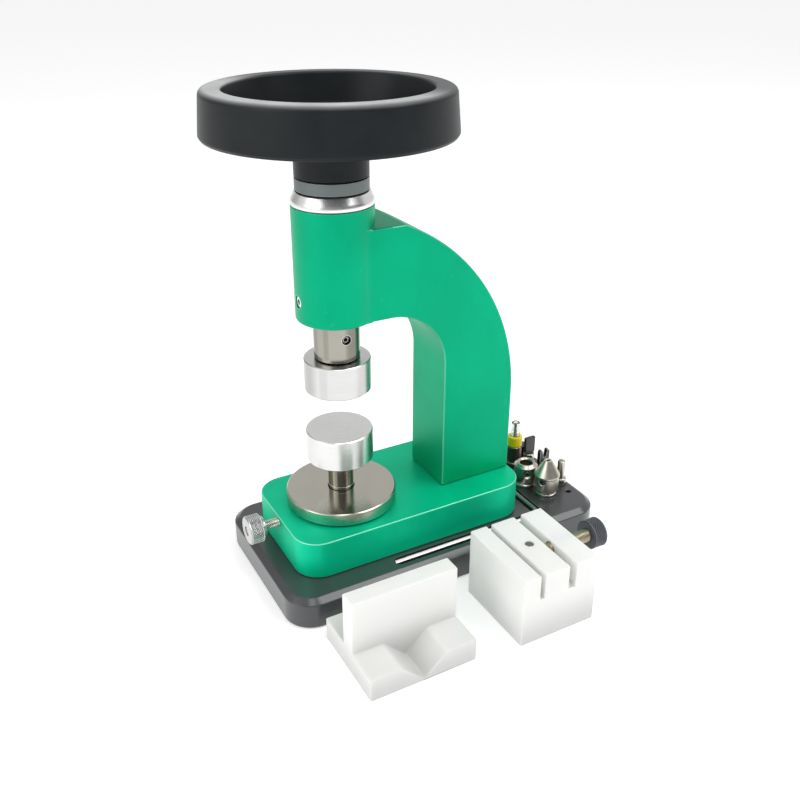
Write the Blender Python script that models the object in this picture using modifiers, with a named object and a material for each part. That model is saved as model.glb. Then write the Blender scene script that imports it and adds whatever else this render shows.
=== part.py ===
"""Bench screw press for closing watch cases, with its pin tools and two nylon holding blocks.

Metres, +Z up. The origin is the centre of the base plate's underside. The press is long in Y:
the ram is at the front (-Y), the column and the tool holes are at the back (+Y), and the two
loose nylon blocks stand on the table beside the base on the +X side.
"""
import bpy
import bmesh
from math import asin, cos, degrees, radians, sin, sqrt, tau
from mathutils import Vector

PART = "watch_case_press"
GAP = 0.0003                      # clearance between neighbouring solids
ROUND = 40                        # sides of a large turned piece
SMALL_ROUND = 20                  # sides of a screw or a small hole
MERGE = 0.00001                   # merge distance of the Screw modifiers
SHARP_ANGLE = radians(35)

# base plate
BASE_LENGTH = 0.1626
BASE_WIDTH = 0.0846
BASE_TOP = 0.0139
BASE_CORNER = 0.0125
BASE_CHAMFER = 0.0026
PAD_RADIUS = 0.006
PAD_PROUD = 0.0006
PAD_RECESS = 0.0010
PAD_INSET = 0.0125
TABLE = -PAD_PROUD                # the plane that the pads and the loose blocks stand on

# ram axis, and the bed on the base
RAM_Y = -BASE_LENGTH / 2 + 0.0419
BED_TOP = 0.0317
BED_FRONT = RAM_Y - 0.0317
BED_LENGTH = 0.1149
BED_WIDTH = 0.0592
BED_CORNER = 0.0119
BED_BACK = BED_FRONT + BED_LENGTH

# C-shaped arm: column, arch and round head in one piece
ARM_WIDTH = 0.0290
COLUMN_FRONT = RAM_Y + 0.0454
ARM_UNDER = BED_TOP + 0.0900
ARM_TOP = BED_TOP + 0.1293
THROAT_RADIUS = 0.0270
ARCH_RADIUS = 0.0962
ARCH_Y = RAM_Y - 0.0137
ARCH_Z = BED_TOP + 0.0415
HEAD_RADIUS = 0.0169
HEAD_TOP = BED_TOP + 0.1381

# spindle stack above the head
CAP_TOP = BED_TOP + 0.1437
CAP_TOP_RADIUS = 0.0152
CAP_SKIRT_RADIUS = 0.0135
CAP_SKIRT_BORE = 0.0108
CAP_SKIRT_LOW = BED_TOP + 0.1315
CAP_SHOULDER = BED_TOP + 0.1395
COLLAR_RADIUS = 0.0149
COLLAR_LOW = CAP_TOP + GAP
COLLAR_TOP = COLLAR_LOW + 0.0051
HUB_LOW = COLLAR_TOP + GAP
JOURNAL_RADIUS = 0.0060
JOURNAL_TOP_RADIUS = 0.0050
THREAD_RADIUS = 0.0060
SPINDLE_TIP = BED_TOP + 0.0930
FLANGE_RADIUS = 0.0104
FLANGE_LOW = BED_TOP + 0.1317
FLANGE_TOP = FLANGE_LOW + 0.0026
RACE_THICK = 0.0012
RACE_BORE = 0.0064
BALL_RADIUS = 0.0008
BALL_CIRCLE = 0.0086
BALL_COUNT = 12
CAGE_THICK = 0.0006

# handwheel
WHEEL_RADIUS = 0.0500
WHEEL_TOP_RADIUS = 0.0484
WHEEL_LOW = BED_TOP + 0.1650
WHEEL_TOP = BED_TOP + 0.1831
RIM_INNER_RADIUS = 0.0404
DISH_FLOOR = BED_TOP + 0.1686
NUT_TOP = BED_TOP + 0.1752
NUT_RADIUS = 0.0075
WASHER_RADIUS = 0.0088
WASHER_THICK = 0.0014
KEY_SIDE = 0.0030
KEY_LENGTH = 0.0120

# ram and dies
RAM_RADIUS = 0.0099
RAM_LOW = BED_TOP + 0.0720
RAM_TOP = BED_TOP + 0.1260
RAM_BORE_LOW = BED_TOP + 0.0873
RAM_SOCKET_TOP = BED_TOP + 0.0853
RAM_SCREW_Z = BED_TOP + 0.0823
KEY_SCREW_Z = BED_TOP + 0.0991
KEYWAY_LOW = BED_TOP + 0.0910
KEYWAY_TOP = BED_TOP + 0.1222
KEYWAY_DEPTH = 0.0016
DOG_RADIUS = 0.0020
KEY_SCREW_RADIUS = 0.0025
UPPER_DIE_RADIUS = 0.0145
UPPER_DIE_LOW = BED_TOP + 0.0568
UPPER_DIE_TOP = BED_TOP + 0.0715
LOWER_DIE_RADIUS = 0.0149
LOWER_DIE_LOW = BED_TOP + 0.0225
LOWER_DIE_TOP = BED_TOP + 0.0367
DIE_SOCKET_DEPTH = 0.0080
STUB_RADIUS = 0.0056
POST_RADIUS = 0.00575
POST_LOW = BED_TOP - 0.0090
ANVIL_RADIUS = 0.0249
ANVIL_TOP = BED_TOP + 0.0068
ANVIL_EDGE = 0.0008

# bed clamp thumbscrew, along Y through the bed's front end
CLAMP_Z = BED_TOP - 0.0034
CLAMP_KNOB_RADIUS = 0.0065
CLAMP_KNOB_OUT = RAM_Y - 0.0464
CLAMP_KNOB_IN = RAM_Y - 0.0385
CLAMP_STUD_RADIUS = 0.0019

# L-shaped groove in the base, with the hex key lying in it
GROOVE_WIDTH = 0.0055
GROOVE_OUT_X = 0.0372
GROOVE_BACK = RAM_Y + 0.0914
GROOVE_FRONT = RAM_Y + 0.0092
GROOVE_FAR_X = 0.0040
GROOVE_DEPTH = 0.0027
HEX_ACROSS = 0.0025
HEX_X = 0.0334
HEX_BACK = RAM_Y + 0.0896
HEX_FRONT = RAM_Y + 0.0097
HEX_FAR_X = 0.0080
HEX_BEND = 0.0045

# tool places on the base: x, and y behind the ram axis
SOCKET_PLACE = (0.0087, RAM_Y + 0.0986)
CONE_PLACE = (0.0208, RAM_Y + 0.1026)
INSERT_ROW = RAM_Y + 0.1135
PIN_X = 0.0182
FORK_X = 0.0035
BLADE_X = -0.0086
STUB_X = -0.0148
SLEEVE_PLACE = (-0.0083, RAM_Y + 0.1035)
SLEEVE_RADIUS = 0.0038
SPARE_HOLE = (0.0254, RAM_Y + 0.1132)
SPARE_HOLE_RADIUS = 0.0016
POCKET_DEPTH = 0.0015
INSERT_HOLE_DEPTH = 0.0080
INSERT_RADIUS = 0.0029
SOCKET_RADIUS = 0.0058
SOCKET_HEIGHT = 0.0125
SOCKET_BORE = 0.0032
CONE_BODY_RADIUS = 0.0060
CONE_FOOT_RADIUS = 0.0052
CONE_LIP_RADIUS = 0.0063
CONE_LIP_HEIGHT = 0.0112
CONE_TIP_RADIUS = 0.0018
CONE_HEIGHT = 0.0187
GRUB_RADIUS = 0.0018
SOCKET_SCREW_FACES = -29          # degrees from +X towards +Y
CONE_SCREW_FACES = -59

# slotted nylon block, and its clamp screw along Y
BLOCK_LOW = (0.0521, RAM_Y + 0.0370)
BLOCK_HIGH = (0.0922, RAM_Y + 0.0747)
BLOCK_TOP = BED_TOP + 0.0006
SLOT_A = (RAM_Y + 0.0454, RAM_Y + 0.0477)
SLOT_B = (RAM_Y + 0.0599, RAM_Y + 0.0635)
SLOT_DEPTH = 0.0120
DOWEL_PLACE = (0.0717, RAM_Y + 0.0540)
DOWEL_RADIUS = 0.0018
BLOCK_SCREW = (0.0740, BED_TOP - 0.0036)
BLOCK_SCREW_RADIUS = 0.0029
BLOCK_KNOB_IN = RAM_Y + 0.0832
BLOCK_KNOB_OUT = RAM_Y + 0.0901
BLOCK_KNOB_RADIUS = 0.0066

# nylon vee block: slab, upright wall and a 45-degree vee in the front ledge
VEE_LOW = (0.0487, RAM_Y - 0.0312)
VEE_HIGH = (0.0895, RAM_Y + 0.0170)
VEE_SLAB = 0.01075
VEE_WALL = (0.0654, 0.0737)
VEE_WALL_TOP = BED_TOP + 0.0030
VEE_CENTRE = RAM_Y - 0.0073
VEE_HALF = 0.0102
VEE_DEEP = 0.0099

# fasteners under the base
COLUMN_BOLT_X = 0.0
COLUMN_BOLTS_Y = (COLUMN_FRONT + 0.0090, COLUMN_FRONT + 0.0280)
COLUMN_BOLT_RADIUS = 0.0030
COLUMN_BOLT_TOP = BED_TOP + 0.0140
BED_BOLTS_X = (-0.0220, 0.0220)
BED_BOLTS_Y = (BED_FRONT + 0.0120, BED_BACK - 0.0120)
BED_BOLT_RADIUS = 0.0024
BED_BOLT_TOP = BASE_TOP + 0.0100
BOLT_HEAD = 0.0048
HEAD_RECESS = 0.0062

FINISHES = {
    "green_anodised": ((0.0, 0.434, 0.205), 0.5, 0.35),
    "black_anodised": ((0.035, 0.037, 0.039), 0.4, 0.42),
    "bright_aluminium": ((0.80, 0.80, 0.79), 1.0, 0.28),
    "stainless": ((0.56, 0.54, 0.50), 1.0, 0.26),
    "grey_steel": ((0.22, 0.24, 0.24), 0.9, 0.38),
    "screw_steel": ((0.12, 0.12, 0.12), 0.9, 0.40),
    "white_nylon": ((0.87, 0.87, 0.84), 0.0, 0.45),
    "brass": ((0.62, 0.50, 0.28), 1.0, 0.30),
    "black_rubber": ((0.02, 0.02, 0.02), 0.0, 0.80),
    "yellow_plastic": ((0.85, 0.62, 0.04), 0.0, 0.35),
    "clear_plastic": ((0.75, 0.77, 0.72), 0.0, 0.20),
}


def clear_scene():
    for item in list(bpy.data.objects):
        bpy.data.objects.remove(item, do_unlink=True)


def collection(name):
    made = bpy.data.collections.new(name)
    bpy.context.scene.collection.children.link(made)
    return made


def finish(name):
    """Principled material for one of the FINISHES."""
    made = bpy.data.materials.get(name)
    if made is None:
        colour, metallic, roughness = FINISHES[name]
        made = bpy.data.materials.new(name)
        made.use_nodes = True
        shader = made.node_tree.nodes["Principled BSDF"]
        shader.inputs["Base Color"].default_value = (*colour, 1.0)
        shader.inputs["Metallic"].default_value = metallic
        shader.inputs["Roughness"].default_value = roughness
        made.diffuse_color = (*colour, 1.0)
    return made


def add(name, mesh, material=None, place=(0.0, 0.0, 0.0)):
    """Link a mesh as a part, or as a hidden cutter when it has no material."""
    mesh.shade_smooth()
    mesh.set_sharp_from_angle(angle=SHARP_ANGLE)
    made = bpy.data.objects.new(name, mesh)
    made.location = place
    if material:
        mesh.materials.append(finish(material))
        PARTS.objects.link(made)
    else:
        made.hide_render = True
        made.display_type = "WIRE"
        CUTTERS.objects.link(made)
    return made


def mesh_of(name, bm):
    mesh = bpy.data.meshes.new(name)
    bm.to_mesh(mesh)
    bm.free()
    return mesh


def box(name, low, high, material=None):
    """Rectangular block between two corners, with its origin at its middle."""
    middle = [(a + b) / 2 for a, b in zip(low, high)]
    size = [b - a for a, b in zip(low, high)]
    bm = bmesh.new()
    bmesh.ops.create_cube(bm, size=1.0)
    bmesh.ops.scale(bm, vec=size, verts=bm.verts)
    return add(name, mesh_of(name, bm), material, middle)


def rod(name, radius, start, end, material=None, sides=SMALL_ROUND, end_radius=None):
    """Cylinder or cone from start to end, with its origin at start."""
    start, end = Vector(start), Vector(end)
    length = (end - start).length
    tip = radius if end_radius is None else end_radius
    bm = bmesh.new()
    bmesh.ops.create_cone(bm, cap_ends=True, segments=sides, radius1=radius, radius2=tip, depth=length)
    bmesh.ops.translate(bm, vec=(0.0, 0.0, length / 2), verts=bm.verts)
    made = add(name, mesh_of(name, bm), material, start)
    made.rotation_euler = (end - start).to_track_quat("Z", "Y").to_euler()
    return made


def turned(name, profile, place, material=None, sides=ROUND, turn=0.0):
    """Lathe piece: a profile of (radius, height) points, top first, down the outer side.

    The profile is closed, except along the axis, so one that meets the axis is solid there.
    turn tips the axis about X: +90 degrees points it to -Y and -90 degrees to +Y.
    """
    bm = bmesh.new()
    points = [bm.verts.new((radius, 0.0, height)) for radius, height in profile]
    for i, point in enumerate(points):
        following = points[(i + 1) % len(points)]
        if point.co.x > 0.0 or following.co.x > 0.0:
            bm.edges.new((point, following))
    made = add(name, mesh_of(name, bm), material, place)
    made.rotation_euler = (radians(turn), 0.0, 0.0)
    screw = made.modifiers.new("turn", "SCREW")
    screw.steps = sides
    screw.render_steps = sides
    screw.use_merge_vertices = True
    screw.merge_threshold = MERGE
    return made


def arc(centre, radius, start, end, steps):
    """Points of a circular arc, in degrees, both ends included."""
    angles = [radians(start + (end - start) * i / steps) for i in range(steps + 1)]
    return [(centre[0] + radius * cos(a), centre[1] + radius * sin(a)) for a in angles]


def rounded_rectangle(width, length, corner, steps=6):
    """Outline centred on the origin, anticlockwise, with round corners."""
    x, y = width / 2 - corner, length / 2 - corner
    points = []
    for centre, start in (((x, y), 0), ((-x, y), 90), ((-x, -y), 180), ((x, -y), 270)):
        points += arc(centre, corner, start, start + 90, steps)
    return points


def plate(name, outline, thickness, place, material=None, upright=False):
    """Flat outline given a thickness: lying flat, or standing in the YZ plane if upright.

    Lying, place is the middle of the underside. Standing, it is the middle of the thickness.
    """
    curve = bpy.data.curves.new(name, "CURVE")
    curve.dimensions = "2D"
    curve.fill_mode = "BOTH"
    curve.extrude = thickness / 2
    spline = curve.splines.new("POLY")
    spline.points.add(len(outline) - 1)
    for point, (across, along) in zip(spline.points, outline):
        point.co = (across, along, 0.0, 1.0)
    spline.use_cyclic_u = True
    drawn = bpy.data.objects.new(name, curve)
    CUTTERS.objects.link(drawn)
    graph = bpy.context.evaluated_depsgraph_get()
    bm = bmesh.new()
    bm.from_mesh(bpy.data.meshes.new_from_object(drawn.evaluated_get(graph)))
    bpy.data.objects.remove(drawn, do_unlink=True)
    bmesh.ops.remove_doubles(bm, verts=bm.verts, dist=MERGE)
    bmesh.ops.dissolve_limit(bm, angle_limit=radians(0.5), verts=bm.verts, edges=bm.edges)
    if not upright:
        bmesh.ops.translate(bm, vec=(0.0, 0.0, thickness / 2), verts=bm.verts)
    bmesh.ops.recalc_face_normals(bm, faces=bm.faces)
    made = add(name, mesh_of(name, bm), material, place)
    if upright:
        made.rotation_euler = (radians(90), 0.0, radians(90))
    return made


def chamfer_rim(piece, height, width):
    """Chamfer the edges of a plate that lie at one local height."""
    mesh = piece.data
    weights = mesh.attributes.new("bevel_weight_edge", "FLOAT", "EDGE")
    for edge in mesh.edges:
        on_rim = all(abs(mesh.vertices[v].co.z - height) < MERGE for v in edge.vertices)
        weights.data[edge.index].value = 1.0 if on_rim else 0.0
    bevel = piece.modifiers.new("chamfer", "BEVEL")
    bevel.limit_method = "WEIGHT"
    bevel.width = width
    bevel.segments = 1


def combine(piece, others, operation):
    for other in others:
        step = piece.modifiers.new(other.name, "BOOLEAN")
        step.operation = operation
        step.solver = "EXACT"
        step.object = other


def cut(piece, *cutters):
    combine(piece, cutters, "DIFFERENCE")


def join(piece, *others):
    combine(piece, others, "UNION")


# ---------------------------------------------------------------- base, bed and arm

def groove_outline():
    """L-shaped outline of the groove: one leg along Y, one along X behind the bed."""
    out_x, far_x = GROOVE_OUT_X, GROOVE_FAR_X
    in_x, in_y = GROOVE_OUT_X - GROOVE_WIDTH, GROOVE_BACK - GROOVE_WIDTH
    return [(out_x, GROOVE_FRONT), (out_x, GROOVE_BACK), (far_x, GROOVE_BACK),
            (far_x, in_y), (in_x, in_y), (in_x, GROOVE_FRONT)]


def pad_places():
    x, y = BASE_WIDTH / 2 - PAD_INSET, BASE_LENGTH / 2 - PAD_INSET
    return [(i * x, j * y) for i in (-1, 1) for j in (-1, 1)]


def make_base():
    outline = rounded_rectangle(BASE_WIDTH, BASE_LENGTH, BASE_CORNER)
    base = plate("base_plate", outline, BASE_TOP, (0.0, 0.0, 0.0), "black_anodised")
    chamfer_rim(base, BASE_TOP, BASE_CHAMFER)
    cut(base, plate("groove", groove_outline(), 2 * GROOVE_DEPTH, (0.0, 0.0, BASE_TOP - GROOVE_DEPTH)))
    for i, (x, y) in enumerate(bolt_places()):
        radius = bolt_radius(i)
        cut(base, rod(f"base_bolt_hole_{i}", radius + GAP, (x, y, -0.001), (x, y, BASE_TOP + 0.001)))
        cut(base, rod(f"base_head_hole_{i}", BOLT_HEAD + GAP, (x, y, -0.001), (x, y, HEAD_RECESS)))
    for i, (x, y) in enumerate(pad_places()):
        cut(base, rod(f"pad_recess_{i}", PAD_RADIUS + GAP, (x, y, -0.001), (x, y, PAD_RECESS)))
    for name, (x, y), radius in (("socket_pocket", SOCKET_PLACE, SOCKET_RADIUS),
                                 ("cone_pocket", CONE_PLACE, CONE_FOOT_RADIUS),
                                 ("sleeve_pocket", SLEEVE_PLACE, SLEEVE_RADIUS)):
        low, high = BASE_TOP - POCKET_DEPTH, BASE_TOP + 0.001
        cut(base, rod(name, radius + GAP, (x, y, low), (x, y, high)))
    for i, x in enumerate((PIN_X, FORK_X, BLADE_X, STUB_X)):
        low = (x, INSERT_ROW, BASE_TOP - INSERT_HOLE_DEPTH)
        cut(base, rod(f"insert_hole_{i}", INSERT_RADIUS + GAP, low, (x, INSERT_ROW, BASE_TOP + 0.001)))
    low = (*SPARE_HOLE, BASE_TOP - INSERT_HOLE_DEPTH)
    cut(base, rod("spare_hole", SPARE_HOLE_RADIUS, low, (*SPARE_HOLE, BASE_TOP + 0.001), sides=12))


def make_pads():
    for i, (x, y) in enumerate(pad_places()):
        top = PAD_RECESS - GAP
        rod(f"foot_pad_{i + 1}", PAD_RADIUS, (x, y, -PAD_PROUD), (x, y, top), "black_rubber")


def bolt_places():
    """Two column bolts first, then the four bed bolts."""
    places = [(COLUMN_BOLT_X, y) for y in COLUMN_BOLTS_Y]
    return places + [(x, y) for x in BED_BOLTS_X for y in BED_BOLTS_Y]


def bolt_radius(index):
    return COLUMN_BOLT_RADIUS if index < len(COLUMN_BOLTS_Y) else BED_BOLT_RADIUS


def make_bolts():
    """Socket cap screws that hold the bed and the column from under the base."""
    columns = len(COLUMN_BOLTS_Y)
    for i, (x, y) in enumerate(bolt_places()):
        name = f"column_bolt_{i + 1}" if i < columns else f"bed_bolt_{i - columns + 1}"
        top = COLUMN_BOLT_TOP if i < columns else BED_BOLT_TOP
        radius = bolt_radius(i)
        head_top = HEAD_RECESS - GAP
        profile = [(0.0, top), (radius, top), (radius, head_top), (BOLT_HEAD, head_top),
                   (BOLT_HEAD, 0.0005), (0.0, 0.0005)]
        turned(name, profile, (x, y, 0.0), "screw_steel", sides=SMALL_ROUND)


def make_bed():
    low = BASE_TOP + GAP
    outline = rounded_rectangle(BED_WIDTH, BED_LENGTH, BED_CORNER)
    middle = (BED_FRONT + BED_BACK) / 2
    bed = plate("bed", outline, BED_TOP - low, (0.0, middle, low), "green_anodised")
    cut(bed, rod("post_hole", POST_RADIUS + GAP, (0.0, RAM_Y, POST_LOW - GAP), (0.0, RAM_Y, BED_TOP + 0.001)))
    stud_end = (0.0, RAM_Y, CLAMP_Z)
    cut(bed, rod("stud_hole", CLAMP_STUD_RADIUS + GAP, (0.0, BED_FRONT - 0.002, CLAMP_Z), stud_end))
    for i, (x, y) in enumerate(bolt_places()):
        top = BED_TOP + 0.001 if i < len(COLUMN_BOLTS_Y) else BED_BOLT_TOP + GAP
        cut(bed, rod(f"bed_bolt_hole_{i}", bolt_radius(i) + GAP, (x, y, low - 0.001), (x, y, top)))


def arm_outline():
    """Side view in (y, z): column front, throat corner, underside, top, arch and back."""
    low = BED_TOP + GAP
    throat = (COLUMN_FRONT - THROAT_RADIUS, ARM_UNDER - THROAT_RADIUS)
    rise = ARM_TOP - ARCH_Z
    start_angle = degrees(asin(rise / ARCH_RADIUS))
    back = ARCH_Y + ARCH_RADIUS
    points = [(COLUMN_FRONT, low)]
    points += arc(throat, THROAT_RADIUS, 0, 90, 10)
    points += [(RAM_Y, ARM_UNDER), (RAM_Y, ARM_TOP)]
    points += arc((ARCH_Y, ARCH_Z), ARCH_RADIUS, start_angle, 0, 20)
    points += [(back, low)]
    return points


def make_arm():
    arm = plate("c_arm", arm_outline(), ARM_WIDTH, (0.0, 0.0, 0.0), "green_anodised", upright=True)
    head = rod("head", HEAD_RADIUS, (0.0, RAM_Y, ARM_UNDER), (0.0, RAM_Y, HEAD_TOP), sides=ROUND)
    join(arm, head)
    low, high = (0.0, RAM_Y, ARM_UNDER - 0.001), (0.0, RAM_Y, HEAD_TOP + 0.001)
    cut(arm, rod("ram_bore", RAM_RADIUS + GAP, low, high, sides=ROUND))
    seat = (0.0, RAM_Y, CAP_SKIRT_LOW - GAP)
    cut(arm, rod("cap_seat", CAP_SKIRT_RADIUS + GAP, seat, (0.0, RAM_Y, HEAD_TOP + 0.001), sides=ROUND))
    front = (0.0, RAM_Y - HEAD_RADIUS - 0.002, KEY_SCREW_Z)
    cut(arm, rod("key_screw_hole", KEY_SCREW_RADIUS + GAP, front, (0.0, RAM_Y, KEY_SCREW_Z)))
    for i, y in enumerate(COLUMN_BOLTS_Y):
        hole = COLUMN_BOLT_RADIUS + GAP
        cut(arm, rod(f"arm_bolt_hole_{i}", hole, (0.0, y, BED_TOP - 0.001), (0.0, y, COLUMN_BOLT_TOP + GAP)))


# ---------------------------------------------------------------- spindle and handwheel

def at_ram(height=0.0):
    return (0.0, RAM_Y, height)


def make_cap():
    """Conical top of the head, whose skirt screws down round the thrust bearing."""
    low = HEAD_TOP + GAP
    profile = [(JOURNAL_RADIUS + GAP, CAP_TOP), (CAP_TOP_RADIUS, CAP_TOP),
               (HEAD_RADIUS, CAP_TOP - 0.0036), (HEAD_RADIUS, low), (CAP_SKIRT_RADIUS, low),
               (CAP_SKIRT_RADIUS, CAP_SKIRT_LOW), (CAP_SKIRT_BORE, CAP_SKIRT_LOW),
               (CAP_SKIRT_BORE, CAP_SHOULDER), (JOURNAL_RADIUS + GAP, CAP_SHOULDER)]
    turned("head_cap", profile, at_ram(), "bright_aluminium")


def make_bearing():
    """Thrust bearing between the spindle's flange and the cap: two races and the caged balls."""
    upper = CAP_SHOULDER - GAP
    lower = FLANGE_TOP + GAP
    for name, top in (("thrust_race_upper", upper), ("thrust_race_lower", lower + RACE_THICK)):
        low = top - RACE_THICK
        ring = [(RACE_BORE, top), (FLANGE_RADIUS, top), (FLANGE_RADIUS, low), (RACE_BORE, low)]
        turned(name, ring, at_ram(), "stainless", sides=ROUND)
    middle = (upper - RACE_THICK + lower + RACE_THICK) / 2
    top, low = middle + CAGE_THICK / 2, middle - CAGE_THICK / 2
    ring = [(RACE_BORE + 0.0006, top), (FLANGE_RADIUS - 0.0004, top),
            (FLANGE_RADIUS - 0.0004, low), (RACE_BORE + 0.0006, low)]
    cage = turned("ball_cage", ring, at_ram(), "brass", sides=ROUND)
    for i in range(BALL_COUNT):
        angle = tau * (i + 0.3) / BALL_COUNT
        x, y = BALL_CIRCLE * cos(angle), RAM_Y + BALL_CIRCLE * sin(angle)
        bm = bmesh.new()
        bmesh.ops.create_uvsphere(bm, u_segments=8, v_segments=6, radius=BALL_RADIUS)
        join(cage, add(f"ball_{i}", mesh_of(f"ball_{i}", bm), place=(x, y, middle)))


def make_spindle():
    """Threaded lower end, flange, journal, and a stepped top for the wheel and its nut."""
    step = HUB_LOW
    top = NUT_TOP - 0.0008
    profile = [(0.0, top), (JOURNAL_TOP_RADIUS - 0.001, top), (JOURNAL_TOP_RADIUS - 0.001, DISH_FLOOR),
               (JOURNAL_TOP_RADIUS, DISH_FLOOR), (JOURNAL_TOP_RADIUS, step), (JOURNAL_RADIUS, step),
               (JOURNAL_RADIUS, FLANGE_TOP), (FLANGE_RADIUS, FLANGE_TOP), (FLANGE_RADIUS, FLANGE_LOW),
               (THREAD_RADIUS, FLANGE_LOW), (THREAD_RADIUS, SPINDLE_TIP + 0.001),
               (THREAD_RADIUS - 0.001, SPINDLE_TIP), (0.0, SPINDLE_TIP)]
    spindle = turned("spindle", profile, at_ram(), "stainless", sides=24)
    low, high = key_corners(0.0)
    cut(spindle, box("spindle_keyway", low, high))


def key_corners(shrink):
    """Corners of the wheel key, which stands half in the spindle and half in the hub."""
    half = KEY_SIDE / 2 + GAP - shrink
    x = JOURNAL_TOP_RADIUS - KEY_SIDE / 2 - GAP + shrink
    low = (x, RAM_Y - half, HUB_LOW + 0.002 + shrink)
    high = (x + KEY_SIDE + 2 * GAP - 2 * shrink, RAM_Y + half, HUB_LOW + 0.002 + KEY_LENGTH - shrink)
    return low, high


def make_collar():
    ring = [(JOURNAL_RADIUS + GAP, COLLAR_TOP), (COLLAR_RADIUS, COLLAR_TOP),
            (COLLAR_RADIUS, COLLAR_LOW), (JOURNAL_RADIUS + GAP, COLLAR_LOW)]
    collar = turned("shaft_collar", ring, at_ram(), "grey_steel")
    middle = (COLLAR_LOW + COLLAR_TOP) / 2
    start = (0.0, RAM_Y + JOURNAL_RADIUS + GAP + 0.0003, middle)
    hole_start = (0.0, RAM_Y + JOURNAL_RADIUS - 0.001, middle)
    hole_end = (0.0, RAM_Y + COLLAR_RADIUS + 0.001, middle)
    cut(collar, rod("collar_screw_hole", GRUB_RADIUS, hole_start, hole_end, sides=16))
    end = (0.0, RAM_Y + COLLAR_RADIUS - 0.0006, middle)
    grub_screw("collar_screw", start, end, GRUB_RADIUS - GAP)


def grub_screw(name, start, end, radius):
    """Headless screw from its tip to its outer end, with a hex socket."""
    screw = rod(name, radius, start, end, "screw_steel", sides=16)
    start, end = Vector(start), Vector(end)
    out = (end - start).normalized()
    cut(screw, rod(f"{name}_socket", radius * 0.55, end - out * 0.0014, end + out * 0.001, sides=6))


def make_wheel():
    """Dished handwheel: flared rim with a round top, thin floor and a long hub below."""
    rim_round = arc((WHEEL_TOP_RADIUS - 0.0022, WHEEL_TOP - 0.0022), 0.0022, 90, 0, 4)
    inner_round = arc((RIM_INNER_RADIUS + 0.0014, WHEEL_TOP - 0.0014), 0.0014, 180, 90, 3)
    bore = JOURNAL_TOP_RADIUS + GAP
    profile = inner_round + rim_round
    profile += [(WHEEL_RADIUS, WHEEL_LOW + 0.0012), (WHEEL_RADIUS - 0.0010, WHEEL_LOW),
                (WHEEL_RADIUS - 0.0050, WHEEL_LOW), (COLLAR_RADIUS + 0.0015, WHEEL_LOW + 0.0003),
                (COLLAR_RADIUS, WHEEL_LOW - 0.0010), (COLLAR_RADIUS, HUB_LOW), (bore, HUB_LOW),
                (bore, DISH_FLOOR), (RIM_INNER_RADIUS - 0.0050, DISH_FLOOR),
                (RIM_INNER_RADIUS - 0.0014, DISH_FLOOR + 0.0026)]
    wheel = turned("handwheel", profile, at_ram(), "black_anodised", sides=56)
    low, high = key_corners(0.0)
    cut(wheel, box("hub_keyway", low, high))
    low, high = key_corners(GAP)
    box("wheel_key", low, high, "screw_steel")


def make_wheel_nut():
    low = DISH_FLOOR + GAP
    bore = JOURNAL_TOP_RADIUS - 0.001 + GAP
    ring = [(bore, low + WASHER_THICK), (WASHER_RADIUS, low + WASHER_THICK), (WASHER_RADIUS, low), (bore, low)]
    turned("wheel_washer", ring, at_ram(), "bright_aluminium", sides=24)
    start, end = at_ram(low + WASHER_THICK + GAP), at_ram(NUT_TOP)
    nut = rod("wheel_nut", NUT_RADIUS, start, end, "bright_aluminium", sides=6)
    cut(nut, rod("nut_bore", bore, at_ram(low), at_ram(NUT_TOP + 0.001), sides=24))


# ---------------------------------------------------------------- ram, dies and anvil

def make_ram():
    ram = rod("ram", RAM_RADIUS, at_ram(RAM_LOW), at_ram(RAM_TOP), "stainless", sides=ROUND)
    cut(ram, rod("ram_thread", THREAD_RADIUS + GAP, at_ram(RAM_BORE_LOW), at_ram(RAM_TOP + 0.001), sides=24))
    cut(ram, rod("ram_socket", STUB_RADIUS + GAP, at_ram(RAM_LOW - 0.001), at_ram(RAM_SOCKET_TOP), sides=24))
    half, bottom = DOG_RADIUS + GAP, RAM_Y - RAM_RADIUS + KEYWAY_DEPTH
    low = (-half, RAM_Y - RAM_RADIUS - 0.001, KEYWAY_LOW)
    cut(ram, box("ram_keyway", low, (half, bottom, KEYWAY_TOP)))
    hole_start, hole_end = (0.0, RAM_Y, RAM_SCREW_Z), (RAM_RADIUS + 0.001, RAM_Y, RAM_SCREW_Z)
    cut(ram, rod("ram_screw_hole", GRUB_RADIUS + GAP, hole_start, hole_end, sides=16))
    start = (STUB_RADIUS + GAP, RAM_Y, RAM_SCREW_Z)
    grub_screw("ram_screw", start, (RAM_RADIUS - 0.0010, RAM_Y, RAM_SCREW_Z), GRUB_RADIUS)


def make_key_screw():
    """Set screw in the head's front whose dog point rides in the ram's keyway."""
    tip = RAM_Y - RAM_RADIUS + KEYWAY_DEPTH - GAP
    shoulder = RAM_Y - RAM_RADIUS - 0.0008
    outer = RAM_Y - HEAD_RADIUS + 0.0006
    profile = [(0.0, -outer), (KEY_SCREW_RADIUS, -outer), (KEY_SCREW_RADIUS, -shoulder),
               (DOG_RADIUS, -shoulder), (DOG_RADIUS, -tip), (0.0, -tip)]
    screw = turned("ram_key_screw", profile, (0.0, 0.0, KEY_SCREW_Z), "screw_steel", sides=16, turn=90)
    start, end = (0.0, outer + 0.0016, KEY_SCREW_Z), (0.0, outer - 0.001, KEY_SCREW_Z)
    cut(screw, rod("key_screw_socket", 0.0013, start, end, sides=6))


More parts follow.
